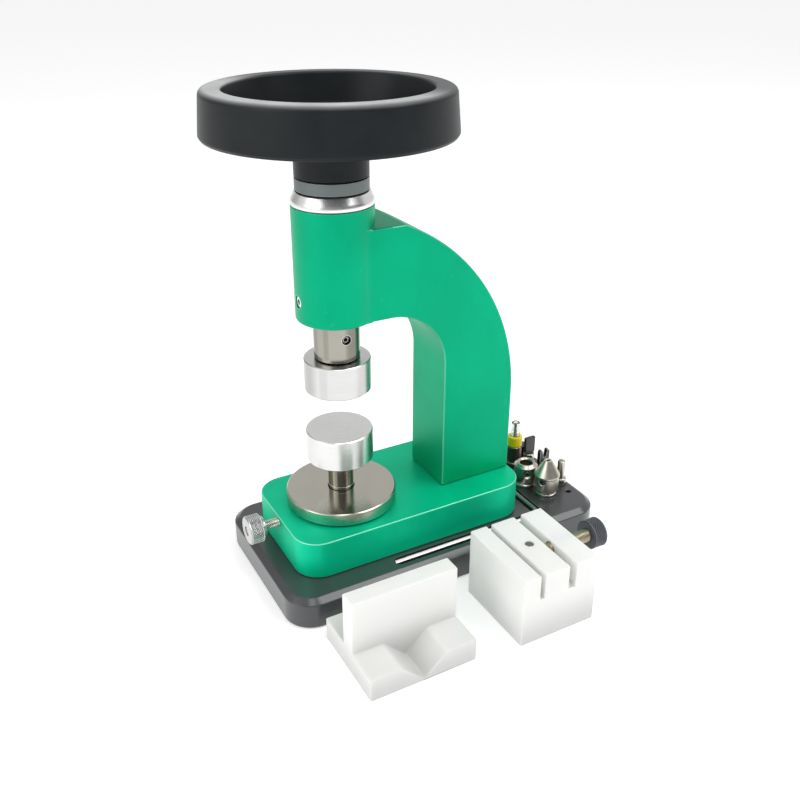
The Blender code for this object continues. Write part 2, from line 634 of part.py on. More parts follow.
def make_upper_die():
    low, top, edge = UPPER_DIE_LOW, UPPER_DIE_TOP, 0.0004
    radius, bore, roof = UPPER_DIE_RADIUS, STUB_RADIUS + GAP, UPPER_DIE_TOP - DIE_SOCKET_DEPTH
    profile = [(bore, top), (radius - edge, top), (radius, top - edge), (radius, low + edge),
               (radius - edge, low), (0.0, low), (0.0, roof), (bore, roof)]
    turned("upper_die", profile, at_ram(), "bright_aluminium")
    start, end = at_ram(roof + GAP), at_ram(RAM_SOCKET_TOP - GAP)
    rod("upper_die_stub", STUB_RADIUS, start, end, "stainless", sides=24)


def make_lower_die():
    low, top, edge = LOWER_DIE_LOW, LOWER_DIE_TOP, 0.0004
    radius, bore, roof = LOWER_DIE_RADIUS, POST_RADIUS + GAP, LOWER_DIE_LOW + DIE_SOCKET_DEPTH
    profile = [(bore, low), (bore, roof), (0.0, roof), (0.0, top), (radius - edge, top),
               (radius, top - edge), (radius, low + edge), (radius - edge, low)]
    turned("lower_die", profile, at_ram(), "bright_aluminium")
    rod("die_post", POST_RADIUS, at_ram(POST_LOW), at_ram(roof - GAP), "stainless", sides=24)


def make_anvil():
    low, top, edge = BED_TOP + GAP, ANVIL_TOP, 0.0005
    bore = POST_RADIUS + GAP
    ring = [(bore, top), (ANVIL_RADIUS - edge, top), (ANVIL_RADIUS, top - edge),
            (ANVIL_RADIUS, low + ANVIL_EDGE), (ANVIL_RADIUS - ANVIL_EDGE, low), (bore, low)]
    turned("anvil_plate", ring, at_ram(), "stainless")


def make_bed_clamp():
    """Knurled thumbscrew at the bed's front end, which clamps the post."""
    place = (0.0, 0.0, CLAMP_Z)
    bore = CLAMP_STUD_RADIUS + GAP
    outer, inner = -CLAMP_KNOB_OUT, -CLAMP_KNOB_IN
    neck, edge = 0.0048, 0.0006
    radius = CLAMP_KNOB_RADIUS
    ring = [(bore, outer), (radius - edge, outer), (radius, outer - edge), (radius, inner + 0.0016),
            (neck, inner + 0.0012), (neck, inner), (bore, inner)]
    turned("bed_clamp_knob", ring, place, "bright_aluminium", sides=32, turn=90)
    start, end = (0.0, CLAMP_KNOB_OUT + 0.0004, CLAMP_Z), (0.0, RAM_Y - POST_RADIUS - GAP, CLAMP_Z)
    rod("bed_clamp_stud", CLAMP_STUD_RADIUS, start, end, "stainless", sides=16)


# ---------------------------------------------------------------- tools on the base

def make_hex_key():
    """Hex bar lying in the groove, its long leg along Y and its short leg along X."""
    z = BASE_TOP - GROOVE_DEPTH + GAP + HEX_ACROSS / 2
    centre = (HEX_X - HEX_BEND, HEX_BACK - HEX_BEND)
    path = [(HEX_X, HEX_FRONT)] + arc(centre, HEX_BEND, 0, 90, 6) + [(HEX_FAR_X, HEX_BACK)]
    curve = bpy.data.curves.new("hex_key", "CURVE")
    curve.dimensions = "3D"
    curve.bevel_depth = HEX_ACROSS / sqrt(3)
    curve.bevel_resolution = 1
    curve.use_fill_caps = True
    spline = curve.splines.new("POLY")
    spline.points.add(len(path) - 1)
    for point, (x, y) in zip(spline.points, path):
        point.co = (x, y, z, 1.0)
        point.tilt = 0.0
    drawn = bpy.data.objects.new("hex_key", curve)
    drawn.data.materials.append(finish("stainless"))
    PARTS.objects.link(drawn)


def holder(name, place, profile, screw_height, body_radius, bore, faces):
    """Turned tool holder standing in its pocket, with a grub screw in its side.

    The screw's outer end faces a direction given in degrees from +X towards +Y.
    """
    made = turned(name, profile, (*place, BASE_TOP), "stainless", sides=32)
    middle = Vector((*place, BASE_TOP + screw_height))
    out = Vector((cos(radians(faces)), sin(radians(faces)), 0.0))
    end = middle + out * (body_radius + 0.001)
    cut(made, rod(f"{name}_screw_hole", GRUB_RADIUS, middle, end, sides=16))
    tip, outer = middle + out * (bore + 0.0004), middle + out * (body_radius - 0.0005)
    grub_screw(f"{name}_screw", tip, outer, GRUB_RADIUS - GAP)
    return made


def make_holders():
    low, floor = -POCKET_DEPTH + GAP, 0.0022
    top, radius, bore = SOCKET_HEIGHT, SOCKET_RADIUS, SOCKET_BORE
    socket = rod("socket_holder_bore", bore, (*SOCKET_PLACE, BASE_TOP + floor),
                 (*SOCKET_PLACE, BASE_TOP + top + 0.001), sides=24)
    profile = [(0.0, top), (radius - 0.0014, top), (radius, top - 0.0014), (radius, low), (0.0, low)]
    made = holder("socket_holder", SOCKET_PLACE, profile, 0.0082, radius, bore, SOCKET_SCREW_FACES)
    cut(made, socket)
    lip, high = CONE_LIP_HEIGHT, CONE_HEIGHT
    radius, foot = CONE_BODY_RADIUS, CONE_FOOT_RADIUS
    profile = [(0.0, high), (CONE_TIP_RADIUS, high), (CONE_LIP_RADIUS, lip), (CONE_LIP_RADIUS, lip - 0.0009),
               (radius, lip - 0.0014), (radius, 0.0032), (foot, 0.0022), (foot, low), (0.0, low)]
    holder("cone_holder", CONE_PLACE, profile, 0.0089, radius, 0.0020, CONE_SCREW_FACES)


def insert(name, x, blank, material="stainless"):
    """Turned insert standing in its hole in the row behind the holders."""
    low = -INSERT_HOLE_DEPTH + GAP
    profile = [(0.0, blank), (INSERT_RADIUS - 0.0004, blank), (INSERT_RADIUS, blank - 0.0004),
               (INSERT_RADIUS, low), (0.0, low)]
    return turned(name, profile, (x, INSERT_ROW, BASE_TOP), material, sides=24)


def make_inserts():
    low, high = (PIN_X, INSERT_ROW, BASE_TOP), (PIN_X, INSERT_ROW, BASE_TOP + 0.0139)
    join(insert("pin_tool", PIN_X, 0.0042), rod("pin_tip", 0.0019, low, high, sides=16))
    top = BASE_TOP + 0.0127
    fork_low, fork_high = (FORK_X - 0.0012, INSERT_ROW - 0.0029), (FORK_X + 0.0012, INSERT_ROW + 0.0029)
    fork = insert("fork_tool", FORK_X, 0.0064, "screw_steel")
    join(fork, box("fork_tip", (*fork_low, BASE_TOP), (*fork_high, top)))
    slot_low = (FORK_X - 0.002, INSERT_ROW - 0.0010, BASE_TOP + 0.0085)
    cut(fork, box("fork_slot", slot_low, (FORK_X + 0.002, INSERT_ROW + 0.0010, top + 0.001)))
    blade_z = BASE_TOP + 0.0046 + GAP
    insert("blade_shank", BLADE_X, 0.0046)
    box("blade", (BLADE_X - 0.0009, INSERT_ROW - 0.0030, blade_z),
        (BLADE_X + 0.0009, INSERT_ROW + 0.0030, BASE_TOP + 0.0140), "black_anodised")
    insert("stub_tool", STUB_X, 0.0068, "screw_steel")


def make_sleeve_tool():
    """Round tool with a dark body, a yellow ring and a clear tube round a thin pin."""
    place = (*SLEEVE_PLACE, BASE_TOP)
    low, radius = -POCKET_DEPTH + GAP, SLEEVE_RADIUS
    body = [(0.0, 0.0250), (0.0007, 0.0250), (0.0007, 0.0176), (0.0022, 0.0176), (0.0022, 0.0122),
            (radius, 0.0122), (radius, low), (0.0, low)]
    turned("sleeve_body", body, place, "grey_steel", sides=24)
    ring = [(0.0022 + GAP, 0.0180), (radius - 0.0004, 0.0180), (radius, 0.0176), (radius, 0.0125),
            (0.0022 + GAP, 0.0125)]
    turned("sleeve_ring", ring, place, "yellow_plastic", sides=24)
    tip = [(0.0010, 0.0257), (0.0021, 0.0257), (0.0023, 0.0252), (0.0023, 0.0183), (0.0010, 0.0183)]
    turned("sleeve_tip", tip, place, "clear_plastic", sides=24)


# ---------------------------------------------------------------- loose nylon blocks

def make_slotted_block():
    block = box("slotted_block", (*BLOCK_LOW, TABLE), (*BLOCK_HIGH, BLOCK_TOP), "white_nylon")
    for name, (front, back) in (("slot_a", SLOT_A), ("slot_b", SLOT_B)):
        low = (BLOCK_LOW[0] - 0.002, front, BLOCK_TOP - SLOT_DEPTH)
        cut(block, box(name, low, (BLOCK_HIGH[0] + 0.002, back, BLOCK_TOP + 0.001)))
    x, y = DOWEL_PLACE
    deep = BLOCK_TOP - 0.0100
    cut(block, rod("dowel_hole", DOWEL_RADIUS + GAP, (x, y, deep), (x, y, BLOCK_TOP + 0.001)))
    rod("dowel_pin", DOWEL_RADIUS, (x, y, deep + GAP), (x, y, BLOCK_TOP - 0.0001), "stainless")
    x, z = BLOCK_SCREW
    tip, hole = SLOT_B[1] - 0.0006, BLOCK_SCREW_RADIUS + GAP
    cut(block, rod("clamp_hole", hole, (x, SLOT_B[1] - 0.001, z), (x, BLOCK_HIGH[1] + 0.001, z)))
    rod("clamp_screw", BLOCK_SCREW_RADIUS, (x, tip, z), (x, BLOCK_KNOB_OUT - 0.0006, z), "brass")
    bore, radius, edge = BLOCK_SCREW_RADIUS + GAP, BLOCK_KNOB_RADIUS, 0.0005
    outer, inner = BLOCK_KNOB_OUT, BLOCK_KNOB_IN
    ring = [(bore, outer), (radius - edge, outer), (radius, outer - edge), (radius, inner + edge),
            (radius - edge, inner), (bore, inner)]
    turned("clamp_knob", ring, (x, 0.0, z), "black_anodised", sides=32, turn=-90)


def make_vee_block():
    (x0, y0), (x1, y1) = VEE_LOW, VEE_HIGH
    ledge = TABLE + VEE_SLAB
    back, front = VEE_WALL
    section = [(x0, TABLE), (x1, TABLE), (x1, ledge), (front, ledge), (front, VEE_WALL_TOP),
               (back, VEE_WALL_TOP), (back, ledge), (x0, ledge)]
    block = plate("vee_block", section, y1 - y0, (0.0, (y0 + y1) / 2, 0.0), "white_nylon", upright=True)
    block.rotation_euler = (radians(90), 0.0, 0.0)
    over = 0.002
    deep, rise = ledge - VEE_DEEP, over * VEE_HALF / VEE_DEEP
    notch = [(VEE_CENTRE, deep), (VEE_CENTRE + VEE_HALF + rise, ledge + over),
             (VEE_CENTRE - VEE_HALF - rise, ledge + over)]
    length = x1 + over - front
    cut(block, plate("vee_notch", notch, length, (front + length / 2, 0.0, 0.0), upright=True))


# ---------------------------------------------------------------- joint axes

def hang(name, place, *pieces):
    """Parent the pieces of one moving body to an empty that stands on its joint's axis."""
    axis = bpy.data.objects.new(name, None)
    axis.location = place
    PARTS.objects.link(axis)
    bpy.context.view_layer.update()
    for piece in pieces:
        child = bpy.data.objects[piece]
        child.parent = axis
        child.matrix_parent_inverse = axis.matrix_world.inverted()


def make_axes():
    hang("spindle_axis", at_ram(HUB_LOW), "spindle", "handwheel", "wheel_key", "wheel_washer", "wheel_nut",
         "shaft_collar", "collar_screw")
    hang("ram_axis", at_ram(RAM_LOW), "ram", "ram_screw", "upper_die", "upper_die_stub")
    hang("bed_clamp_axis", (0.0, BED_FRONT, CLAMP_Z), "bed_clamp_knob", "bed_clamp_stud")
    hang("block_clamp_axis", (BLOCK_SCREW[0], BLOCK_HIGH[1], BLOCK_SCREW[1]), "clamp_screw", "clamp_knob")
    hang("lower_die_axis", at_ram(LOWER_DIE_LOW), "lower_die")
    hang("sleeve_tool_axis", (*SLEEVE_PLACE, BASE_TOP), "sleeve_body", "sleeve_ring", "sleeve_tip")
    hang("socket_holder_axis", (*SOCKET_PLACE, BASE_TOP), "socket_holder", "socket_holder_screw")
    hang("cone_holder_axis", (*CONE_PLACE, BASE_TOP), "cone_holder", "cone_holder_screw")
    hang("blade_axis", (BLADE_X, INSERT_ROW, BASE_TOP), "blade", "blade_shank")
    hang("slotted_block_axis", (*BLOCK_LOW, TABLE), "slotted_block", "dowel_pin", "block_clamp_axis")


clear_scene()
PARTS = collection(PART)
CUTTERS = collection("cutters")
make_base()
make_pads()
make_bolts()
make_bed()
make_arm()
make_cap()
make_bearing()
make_spindle()
make_collar()
make_wheel()
make_wheel_nut()
make_ram()
make_key_screw()
make_upper_die()
make_lower_die()
make_anvil()
make_bed_clamp()
make_hex_key()
make_holders()
make_inserts()
make_sleeve_tool()
make_slotted_block()
make_vee_block()
make_axes()
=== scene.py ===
"""Watch case press: the finished surfaces of each piece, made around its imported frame.

Metres, +Z up. The ram's axis is vertical at the front (-Y), the column and the small tools are
at the back (+Y), and the two white blocks stand on the table on the +X side.
"""

import bmesh
import bpy
import numpy as np
from mathutils import Matrix, Vector


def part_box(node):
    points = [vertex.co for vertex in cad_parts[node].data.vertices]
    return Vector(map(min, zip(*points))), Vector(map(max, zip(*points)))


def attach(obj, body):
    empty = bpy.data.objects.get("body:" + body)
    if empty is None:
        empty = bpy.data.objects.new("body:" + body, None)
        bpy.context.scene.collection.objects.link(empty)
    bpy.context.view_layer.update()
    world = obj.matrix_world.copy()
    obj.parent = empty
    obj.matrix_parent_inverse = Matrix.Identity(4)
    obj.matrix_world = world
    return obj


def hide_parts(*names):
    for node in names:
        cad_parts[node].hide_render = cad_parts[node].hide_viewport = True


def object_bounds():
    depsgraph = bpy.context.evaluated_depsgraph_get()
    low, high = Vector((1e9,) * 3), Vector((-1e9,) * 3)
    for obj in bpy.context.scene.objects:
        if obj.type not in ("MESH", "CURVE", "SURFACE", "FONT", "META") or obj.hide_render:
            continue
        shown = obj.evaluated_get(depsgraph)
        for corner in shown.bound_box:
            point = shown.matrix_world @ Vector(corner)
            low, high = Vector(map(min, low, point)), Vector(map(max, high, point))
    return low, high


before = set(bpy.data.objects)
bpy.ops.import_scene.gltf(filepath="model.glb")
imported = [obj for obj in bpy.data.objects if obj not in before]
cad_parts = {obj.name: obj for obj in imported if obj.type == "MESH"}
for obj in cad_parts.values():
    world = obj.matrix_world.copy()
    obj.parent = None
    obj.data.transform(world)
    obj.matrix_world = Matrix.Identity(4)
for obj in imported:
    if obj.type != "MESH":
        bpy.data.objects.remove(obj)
cad_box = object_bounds()

TAU = 2 * np.pi
SHARP = np.radians(20)       # faces that meet at more than this keep a crisp edge
MERGE = 1e-6
SOCKETS = {"ior": "IOR", "specular_ior_level": "Specular IOR Level"}


def span(node):
    """Lowest corner, highest corner and middle of a CAD node."""
    low, high = (np.array(corner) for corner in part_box(node))
    return low, high, (low + high) / 2


def foot(node):
    """Where the upright axis of a CAD node meets z = 0."""
    return span(node)[2] * (1, 1, 0)


def level_axis(node):
    """Where the axis along Y through the middle of a CAD node meets y = 0."""
    return span(node)[2] * (1, 0, 1)


RAM = foot("ram")
BASE_TOP = span("base_plate")[1][2]
BED_TOP = span("bed")[1][2]
ARM_UNDER = BED_TOP + 0.0900
ARM_TOP = BED_TOP + 0.1293


# ---- shader sums

class Wire:
    """One output of a shader node. Sums written on it add Math nodes."""

    def __init__(self, owner, socket):
        self.owner = owner
        self.socket = socket

    def math(self, operation, *others):
        values = {place + 1: other for place, other in enumerate(others)}
        return self.owner.node("Math", {"operation": operation}, {0: self, **values})

    def __add__(self, other):
        return self.math("ADD", other)

    def __mul__(self, other):
        return self.math("MULTIPLY", other)

    def __sub__(self, other):
        return self.math("SUBTRACT", other)

    def __rsub__(self, other):
        return (self * -1.0) + other

    def __pow__(self, other):
        return self.math("POWER", other)

    __radd__ = __add__
    __rmul__ = __mul__

    def band(self, low, high):
        """0 below low, 1 above high, and a soft step between."""
        settings = {"interpolation_type": "SMOOTHSTEP"}
        return self.owner.node("MapRange", settings, {"Value": self, "From Min": low, "From Max": high})


class Nodes:
    """A node tree, and short ways to add nodes to it."""

    def __init__(self, tree):
        self.tree = tree

    def node(self, kind, settings, values, out=0):
        """A node of a type, with its settings made first and then its sockets set or linked."""
        made = self.tree.nodes.new("ShaderNode" + kind)
        for key, value in settings.items():
            setattr(made, key, value)
        for key, value in values.items():
            self.plug(made.inputs[key], value)
        return Wire(self, made.outputs[out])

    def plug(self, socket, value):
        if isinstance(value, Wire):
            self.tree.links.new(value.socket, socket)
        else:
            socket.default_value = value

    def vector(self, operation, first, second, out="Vector"):
        return self.node("VectorMath", {"operation": operation}, {0: first, 1: second}, out)

    def towards(self, direction, azimuth):
        """Cosine between a direction, laid level, and an azimuth in degrees from +X towards +Y."""
        level = self.vector("MULTIPLY", direction, (1, 1, 0))
        unit = self.node("VectorMath", {"operation": "NORMALIZE"}, {0: level})
        way = (np.cos(np.radians(azimuth)), np.sin(np.radians(azimuth)), 0)
        return self.vector("DOT_PRODUCT", unit, way, "Value")


class Paint(Nodes):
    """One material: a Principled shader whose constants are set on its own sockets."""

    def __init__(self, name, **constants):
        self.material = bpy.data.materials.new(name)
        self.material.use_nodes = True
        super().__init__(self.material.node_tree)
        self.shader = self.tree.nodes["Principled BSDF"]
        for key, value in constants.items():
            self.shader.inputs[SOCKETS.get(key, key.replace("_", " ").title())].default_value = value

    def place(self, centre=(0, 0, 0)):
        """Object coordinates counted from a centre."""
        return self.vector("SUBTRACT", self.node("TexCoord", {}, {}, "Object"), tuple(centre))

    def axes(self, vector):
        return [self.node("SeparateXYZ", {}, {0: vector}, axis) for axis in "XYZ"]

    def noise(self, vector, scale, detail=2.0, roughness=0.5):
        values = {"Vector": vector, "Scale": scale, "Detail": detail, "Roughness": roughness}
        return self.node("TexNoise", {}, values, 0)

    def mix(self, factor, first, second):
        values = {0: factor, 6: first, 7: second}
        return self.node("Mix", {"data_type": "RGBA"}, values, 2)

    def edges(self, radius):
        """Mask of the edges: how far the face normal is from the normal rounded over a radius."""
        soft = self.node("Bevel", {"samples": 6}, {"Radius": radius})
        face = self.node("NewGeometry", {}, {}, "Normal")
        return (1.0 - self.vector("DOT_PRODUCT", soft, face, "Value")).band(0.01, 0.16)

    def colour(self, value):
        self.plug(self.shader.inputs["Base Color"], value)

    def roughness(self, value):
        self.plug(self.shader.inputs["Roughness"], value)

    def relief(self, height, distance, strength=1.0):
        """Bump of a height that runs from 0 to 1 over a distance in metres."""
        values = {"Height": height, "Distance": distance, "Strength": strength}
        self.plug(self.shader.inputs["Normal"], self.node("Bump", {}, values))


def rgb(*shade):
    """Linear colour, as red, green and blue from 0 to 1, with full cover."""
    return (*shade, 1.0)


def shaded(colour, factor):
    return rgb(*(channel * factor for channel in colour[:3]))


# ---- finishes

def anodised(name, colour, rim, rough, scuffs, edge_highlight_share, rounded="", seam_at=None, **constants):
    """Bead-blasted and dyed aluminium: fine grain, faint clouds, pale scuffs, and a painted highlight on the
    edges.

    rounded names the axis that the wide rounded edges turn away from, where a painted highlight line is laid,
    and seam_at is the height of a line of painted shade along the foot of the piece, where it meets the piece
    below.
    """
    paint = Paint(name, **constants)
    place = paint.place()
    cloud = paint.noise(place, 38.0, 3.0)
    blast = paint.noise(place, 2400.0, 2.0)
    scuff = paint.noise(place, 260.0, 4.0, 0.7).band(0.62, 0.74)
    tone = paint.mix(cloud.band(0.3, 0.7), shaded(colour, 0.93), shaded(colour, 1.05))
    # The pale colour serves both the scuffs and the painted edge highlight.
    tone = paint.mix(scuff * scuffs, tone, rim)
    # Painted highlight: the edges are mixed towards the pale colour, as if they caught the light.
    edge_highlight = paint.edges(0.0005) * edge_highlight_share
    if rounded:
        lean = paint.axes(paint.node("NewGeometry", {}, {}, "Normal"))["XYZ".index(rounded)].math("ABSOLUTE")
        share = 0.60
        if rounded == "X":
            behind_head = paint.axes(place)[1].band(RAM[1] + 0.0190, RAM[1] + 0.0200)
            share = behind_head * 0.30
        # Painted highlight line on the wide rounded edges, where the normal leans part way along the axis.
        edge_highlight = edge_highlight + lean.band(0.30, 0.60) * (1.0 - lean.band(0.75, 0.95)) * share
    tone = paint.mix(edge_highlight, tone, rim)
    if seam_at is not None:
        # Painted shade: a dark line along the foot of the piece, where it meets the piece below.
        seam_shade = paint.axes(place)[2].band(seam_at + 0.0007, seam_at + 0.0002) * 0.75
        tone = paint.mix(seam_shade, tone, shaded(colour, 0.15))
    paint.colour(tone)
    paint.roughness((blast - 0.5) * 0.12 + (scuff * scuffs + rough))
    paint.relief(blast, 0.00001)
    return paint.material


def ring_coordinates(paint, centre, axis):
    """Distance from a turning axis, and the distance along it."""
    x, y, z = paint.axes(paint.place(centre))
    across, along = {"X": ((y, z), x), "Y": ((x, z), y), "Z": ((x, y), z)}[axis]
    return (across[0] ** 2 + across[1] ** 2) ** 0.5, along


def turned(name, colour, rough, centre, axis="Z", depth=0.0000012, side=0.0, streaks=(), duller=0.0):
    """Lathe-turned metal: fine rings round the axis, faint feed bands and smudges, and a painted highlight on
    the edges.

    side is the radius of the outer side, which may be duller than the faces. A dark stripe down that side is a
    painted reflection of dark surroundings, fixed at one azimuth: each is given as its azimuth from +X, the
    cosine of half its width, and its depth.
    """
    grain = 0.00022
    paint = Paint(name, metallic=1.0, anisotropic=0.35 if axis == "Z" else 0.0)
    radius, along = ring_coordinates(paint, centre, axis)
    rings = paint.node("CombineXYZ", {}, {0: radius, 1: along})
    fine = paint.noise(rings, 1.0 / grain, 2.0, 0.6)
    bands = paint.noise(rings, 0.12 / grain, 2.0)
    place = paint.place()
    smudge = paint.noise(place, 60.0, 3.0)
    tone = paint.mix(bands.band(0.3, 0.7), shaded(colour, 0.985), shaded(colour, 1.015))
    tone = paint.mix(smudge.band(0.4, 0.75) * 0.4, tone, shaded(colour, 0.92))
    # Painted reflections: dark stripes down the outer side at fixed azimuths, standing for dark surroundings
    # reflected in the metal.
    for azimuth, cosine, loss in streaks:
        near = paint.towards(paint.place(centre), azimuth)
        dark = near.band(cosine, 1.0) * radius.band(side - 0.0004, side - 0.0001) * loss
        tone = paint.mix(dark, tone, shaded(colour, 0.1))
    # Painted highlight: the edges are mixed towards near white, as if they caught the light.
    paint.colour(paint.mix(paint.edges(0.0005) * 0.8, tone, rgb(0.97, 0.97, 0.96)))
    shine = (fine - 0.5) * 0.10 + (smudge * 0.10 + (rough - 0.04))
    if duller:
        shine = radius.band(side - 0.0004, side) * duller + shine
    paint.roughness(shine)
    paint.relief(fine, depth)
    return paint.material


def knurled(name, face, crest, groove, rough, centre, radius, metallic):
    """Knurled knob whose axis runs along Y: painted shade in its grooves and a painted highlight on its crests.
    """
    paint = Paint(name, metallic=metallic)
    distance, _ = ring_coordinates(paint, centre, "Y")
    # Painted highlight on the crests and painted shade in the grooves, chosen by the distance from the axis.
    below = 1.0 - distance.band(radius - 0.00022, radius - 0.00003)
    outside = distance.band(radius - 0.0007, radius - 0.0005)
    paint.colour(paint.mix(below * outside, paint.mix(outside, face, crest), groove))
    paint.roughness(paint.noise(paint.place(), 900.0) * 0.16 + (rough - 0.08))
    return paint.material


def nylon(name):
    """Milled cast nylon: warm white, a little light inside it, cutter lines and a matte bloom, with painted
    shade towards the bottom and a painted highlight on the edges.
    """
    paint = Paint(name, subsurface_weight=0.35, subsurface_scale=0.004, ior=1.53)
    paint.shader.inputs["Subsurface Radius"].default_value = (1.0, 0.92, 0.78)
    place = paint.place()
    x, y, z = paint.axes(place)
    swept = paint.node("CombineXYZ", {}, {0: x * 0.05, 1: y, 2: z})
    cutter = paint.noise(swept, 1500.0, 2.0)
    cloud = paint.noise(place, 45.0, 3.0)
    # Painted shade: the colour grows darker towards the bottom, as if less light reached it there.
    low = z.band(0.022, -0.003)
    tone = paint.mix(cloud.band(0.35, 0.7), rgb(0.895, 0.895, 0.88), rgb(0.875, 0.872, 0.85))
    tone = paint.mix(low * 0.80, tone, rgb(0.52, 0.52, 0.51))
    # Painted highlight on the edges.
    paint.colour(paint.mix(paint.edges(0.0007) * 0.5, tone, rgb(0.97, 0.97, 0.965)))
    paint.roughness(cutter * 0.12 + 0.36)
    paint.relief(cutter, 0.00001)
    return paint.material


def moulded(name, colour, rough, **constants):
    """Small moulded or rubber piece: even colour with a fine pebble and a faint painted highlight on the edges.
    """
    paint = Paint(name, **constants)
    pebble = paint.noise(paint.place(), 1800.0, 3.0)
    tone = paint.mix(pebble.band(0.3, 0.7), shaded(colour, 0.92), shaded(colour, 1.06))
    # Painted highlight: the edges are mixed towards a paler colour.
    paint.colour(paint.mix(paint.edges(0.0004) * 0.3, tone, shaded(colour, 1.35)))
    paint.roughness(pebble * 0.10 + (rough - 0.05))
    paint.relief(pebble, 0.00001)
    return paint.material


BRIGHT = rgb(0.86, 0.86, 0.85)
STEEL = rgb(0.55, 0.53, 0.46)
DARK_STEEL = rgb(0.10, 0.10, 0.10)


def bright_at(node, axis="Z", shade=1.0, **details):
    """Bright turned aluminium, darker by a shade, with its rings centred on a CAD node."""
    return turned(f"bright_{node}", shaded(BRIGHT, shade), 0.24, span(node)[2], axis, **details)


def steel_at(node, axis="Z", rough=0.20, shade=1.0, **details):
    """Stainless steel, darker by a shade, with its rings centred on a CAD node."""
    return turned(f"steel_{node}", shaded(STEEL, shade), rough, span(node)[2], axis, **details)


# The pale mint is the colour of the scuffs and of the painted highlight on the arm's edges.
GREEN = anodised("green_anodised", rgb(0.0, 0.41, 0.205), rgb(0.45, 1.0, 0.78), 0.40, 0.04, 0.95,
                 rounded="X", seam_at=BED_TOP, metallic=0.55, specular_ior_level=0.12)
# Painted light: the bed has the same anodising as the arm, painted about half as bright again to stand in for
# the light that reaches it.
BED_GREEN_PAINTED_LIGHT = anodised("bed_green_painted_light", rgb(0.0, 0.62, 0.33), rgb(0.50, 1.0, 0.80), 0.42, 0.04, 0.95,
                     rounded="Z", seam_at=BASE_TOP, metallic=0.40, specular_ior_level=0.12)
# The pale greys are the colours of the scuffs and of the painted highlight on the edges.
BLACK = anodised("black_anodised", rgb(0.043, 0.046, 0.049), rgb(0.26, 0.27, 0.28), 0.30, 0.02, 0.6,
                 coat_weight=0.5, coat_roughness=0.16)
BLADE_BLACK = anodised("blade_black", rgb(0.009, 0.0115, 0.013), rgb(0.08, 0.09, 0.095), 0.30, 0.01, 0.6,
                       coat_weight=0.5, coat_roughness=0.14)
SCREW = turned("dark_screw_steel", DARK_STEEL, 0.34, (0, 0, 0))
NYLON = nylon("milled_nylon")
RUBBER = moulded("pad_rubber", rgb(0.02, 0.02, 0.02), 0.75)
YELLOW = moulded("yellow_ring", rgb(0.97, 0.74, 0.01), 0.32)
CLEAR = moulded("clear_tip", rgb(0.97, 0.97, 0.95), 0.10, transmission_weight=0.9, ior=1.49)


# ---- surfaces

def piece_from(name, points, faces):
    mesh = bpy.data.meshes.new(name)
    mesh.from_pydata(points, [], faces)
    made = bpy.data.objects.new(name, mesh)
    bpy.context.scene.collection.objects.link(made)
    return made


def tidy(mesh):
    """Merge points that coincide and turn every face outwards."""
    solid = bmesh.new()
    solid.from_mesh(mesh)
    bmesh.ops.remove_doubles(solid, verts=solid.verts, dist=MERGE)
    bmesh.ops.dissolve_degenerate(solid, dist=MERGE, edges=solid.edges)
    bmesh.ops.recalc_face_normals(solid, faces=solid.faces)
    solid.to_mesh(mesh)
    solid.free()


def skin(name, rings, closed=False):
    """Surface through rings of points, an array of (ring, place on the ring, xyz).

    Point (i, j) joins (i + 1, j) and (i, j + 1), and j runs round. A closed skin joins its last
    ring to its first; an open one has a flat face over each end.
    """
    rows, columns = rings.shape[:2]
    index = np.arange(rows * columns).reshape(rows, columns)
    here = index if closed else index[:-1]
    after = np.roll(index, -1, axis=0) if closed else index[1:]
    quads = np.stack([here, np.roll(here, -1, 1), np.roll(after, -1, 1), after], axis=-1)
    faces = quads.reshape(-1, 4).tolist()
    if not closed:
        faces += [index[0, ::-1].tolist(), index[-1].tolist()]
    made = piece_from(name, rings.reshape(-1, 3), faces)
    tidy(made.data)
    return made


def soften(corners, steps=5):
    """Polyline whose corners become arcs: each corner is (a, b, radius).

    An arc starts and ends at radius / tan(half the corner's angle) from the corner, and follows
    centre + radius * (cos, sin) between.
    """
    corners = np.array([(*c, 0.0) if len(c) == 2 else c for c in corners], float)
    points, radii = corners[:, :2], corners[:, 2]
    out = []
    for i, (corner, radius) in enumerate(zip(points, radii)):
        if radius == 0.0:
            out.append(corner[None])
            continue
        before = points[i - 1] - corner
        after = points[(i + 1) % len(points)] - corner
        before, after = before / np.linalg.norm(before), after / np.linalg.norm(after)
        half = np.arccos(np.clip(before @ after, -1, 1)) / 2
        middle = before + after
        centre = corner + middle / np.linalg.norm(middle) * radius / np.sin(half)
        first = corner + before * radius / np.tan(half) - centre
        last = corner + after * radius / np.tan(half) - centre
        start = np.arctan2(first[1], first[0])
        sweep = (np.arctan2(last[1], last[0]) - start + np.pi) % TAU - np.pi
        angle = start + sweep * np.linspace(0, 1, steps + 1)
        out.append(centre + radius * np.stack([np.cos(angle), np.sin(angle)], axis=1))
    return np.concatenate(out)


def rod(radius, low, high, low_edge, high_edge, steps=3, bore=0.0):
    """Profile of a plain rod, or a ring with a bore, with its two outer edges rounded."""
    corners = [(bore, low), (radius, low, low_edge), (radius, high, high_edge), (bore, high)]
    return soften(corners, steps)


def aim(points, centre, axis):
    """Points made round +Z, turned so that their height runs along an axis, and put at a centre."""
    x, y, z = np.moveaxis(points, -1, 0)
    turned_to = {"Z": (x, y, z), "-Y": (x, -z, y), "Y": (x, z, -y), "X": (z, y, -x), "-X": (-z, y, x)}
    return np.stack(turned_to[axis], axis=-1) + np.asarray(centre)


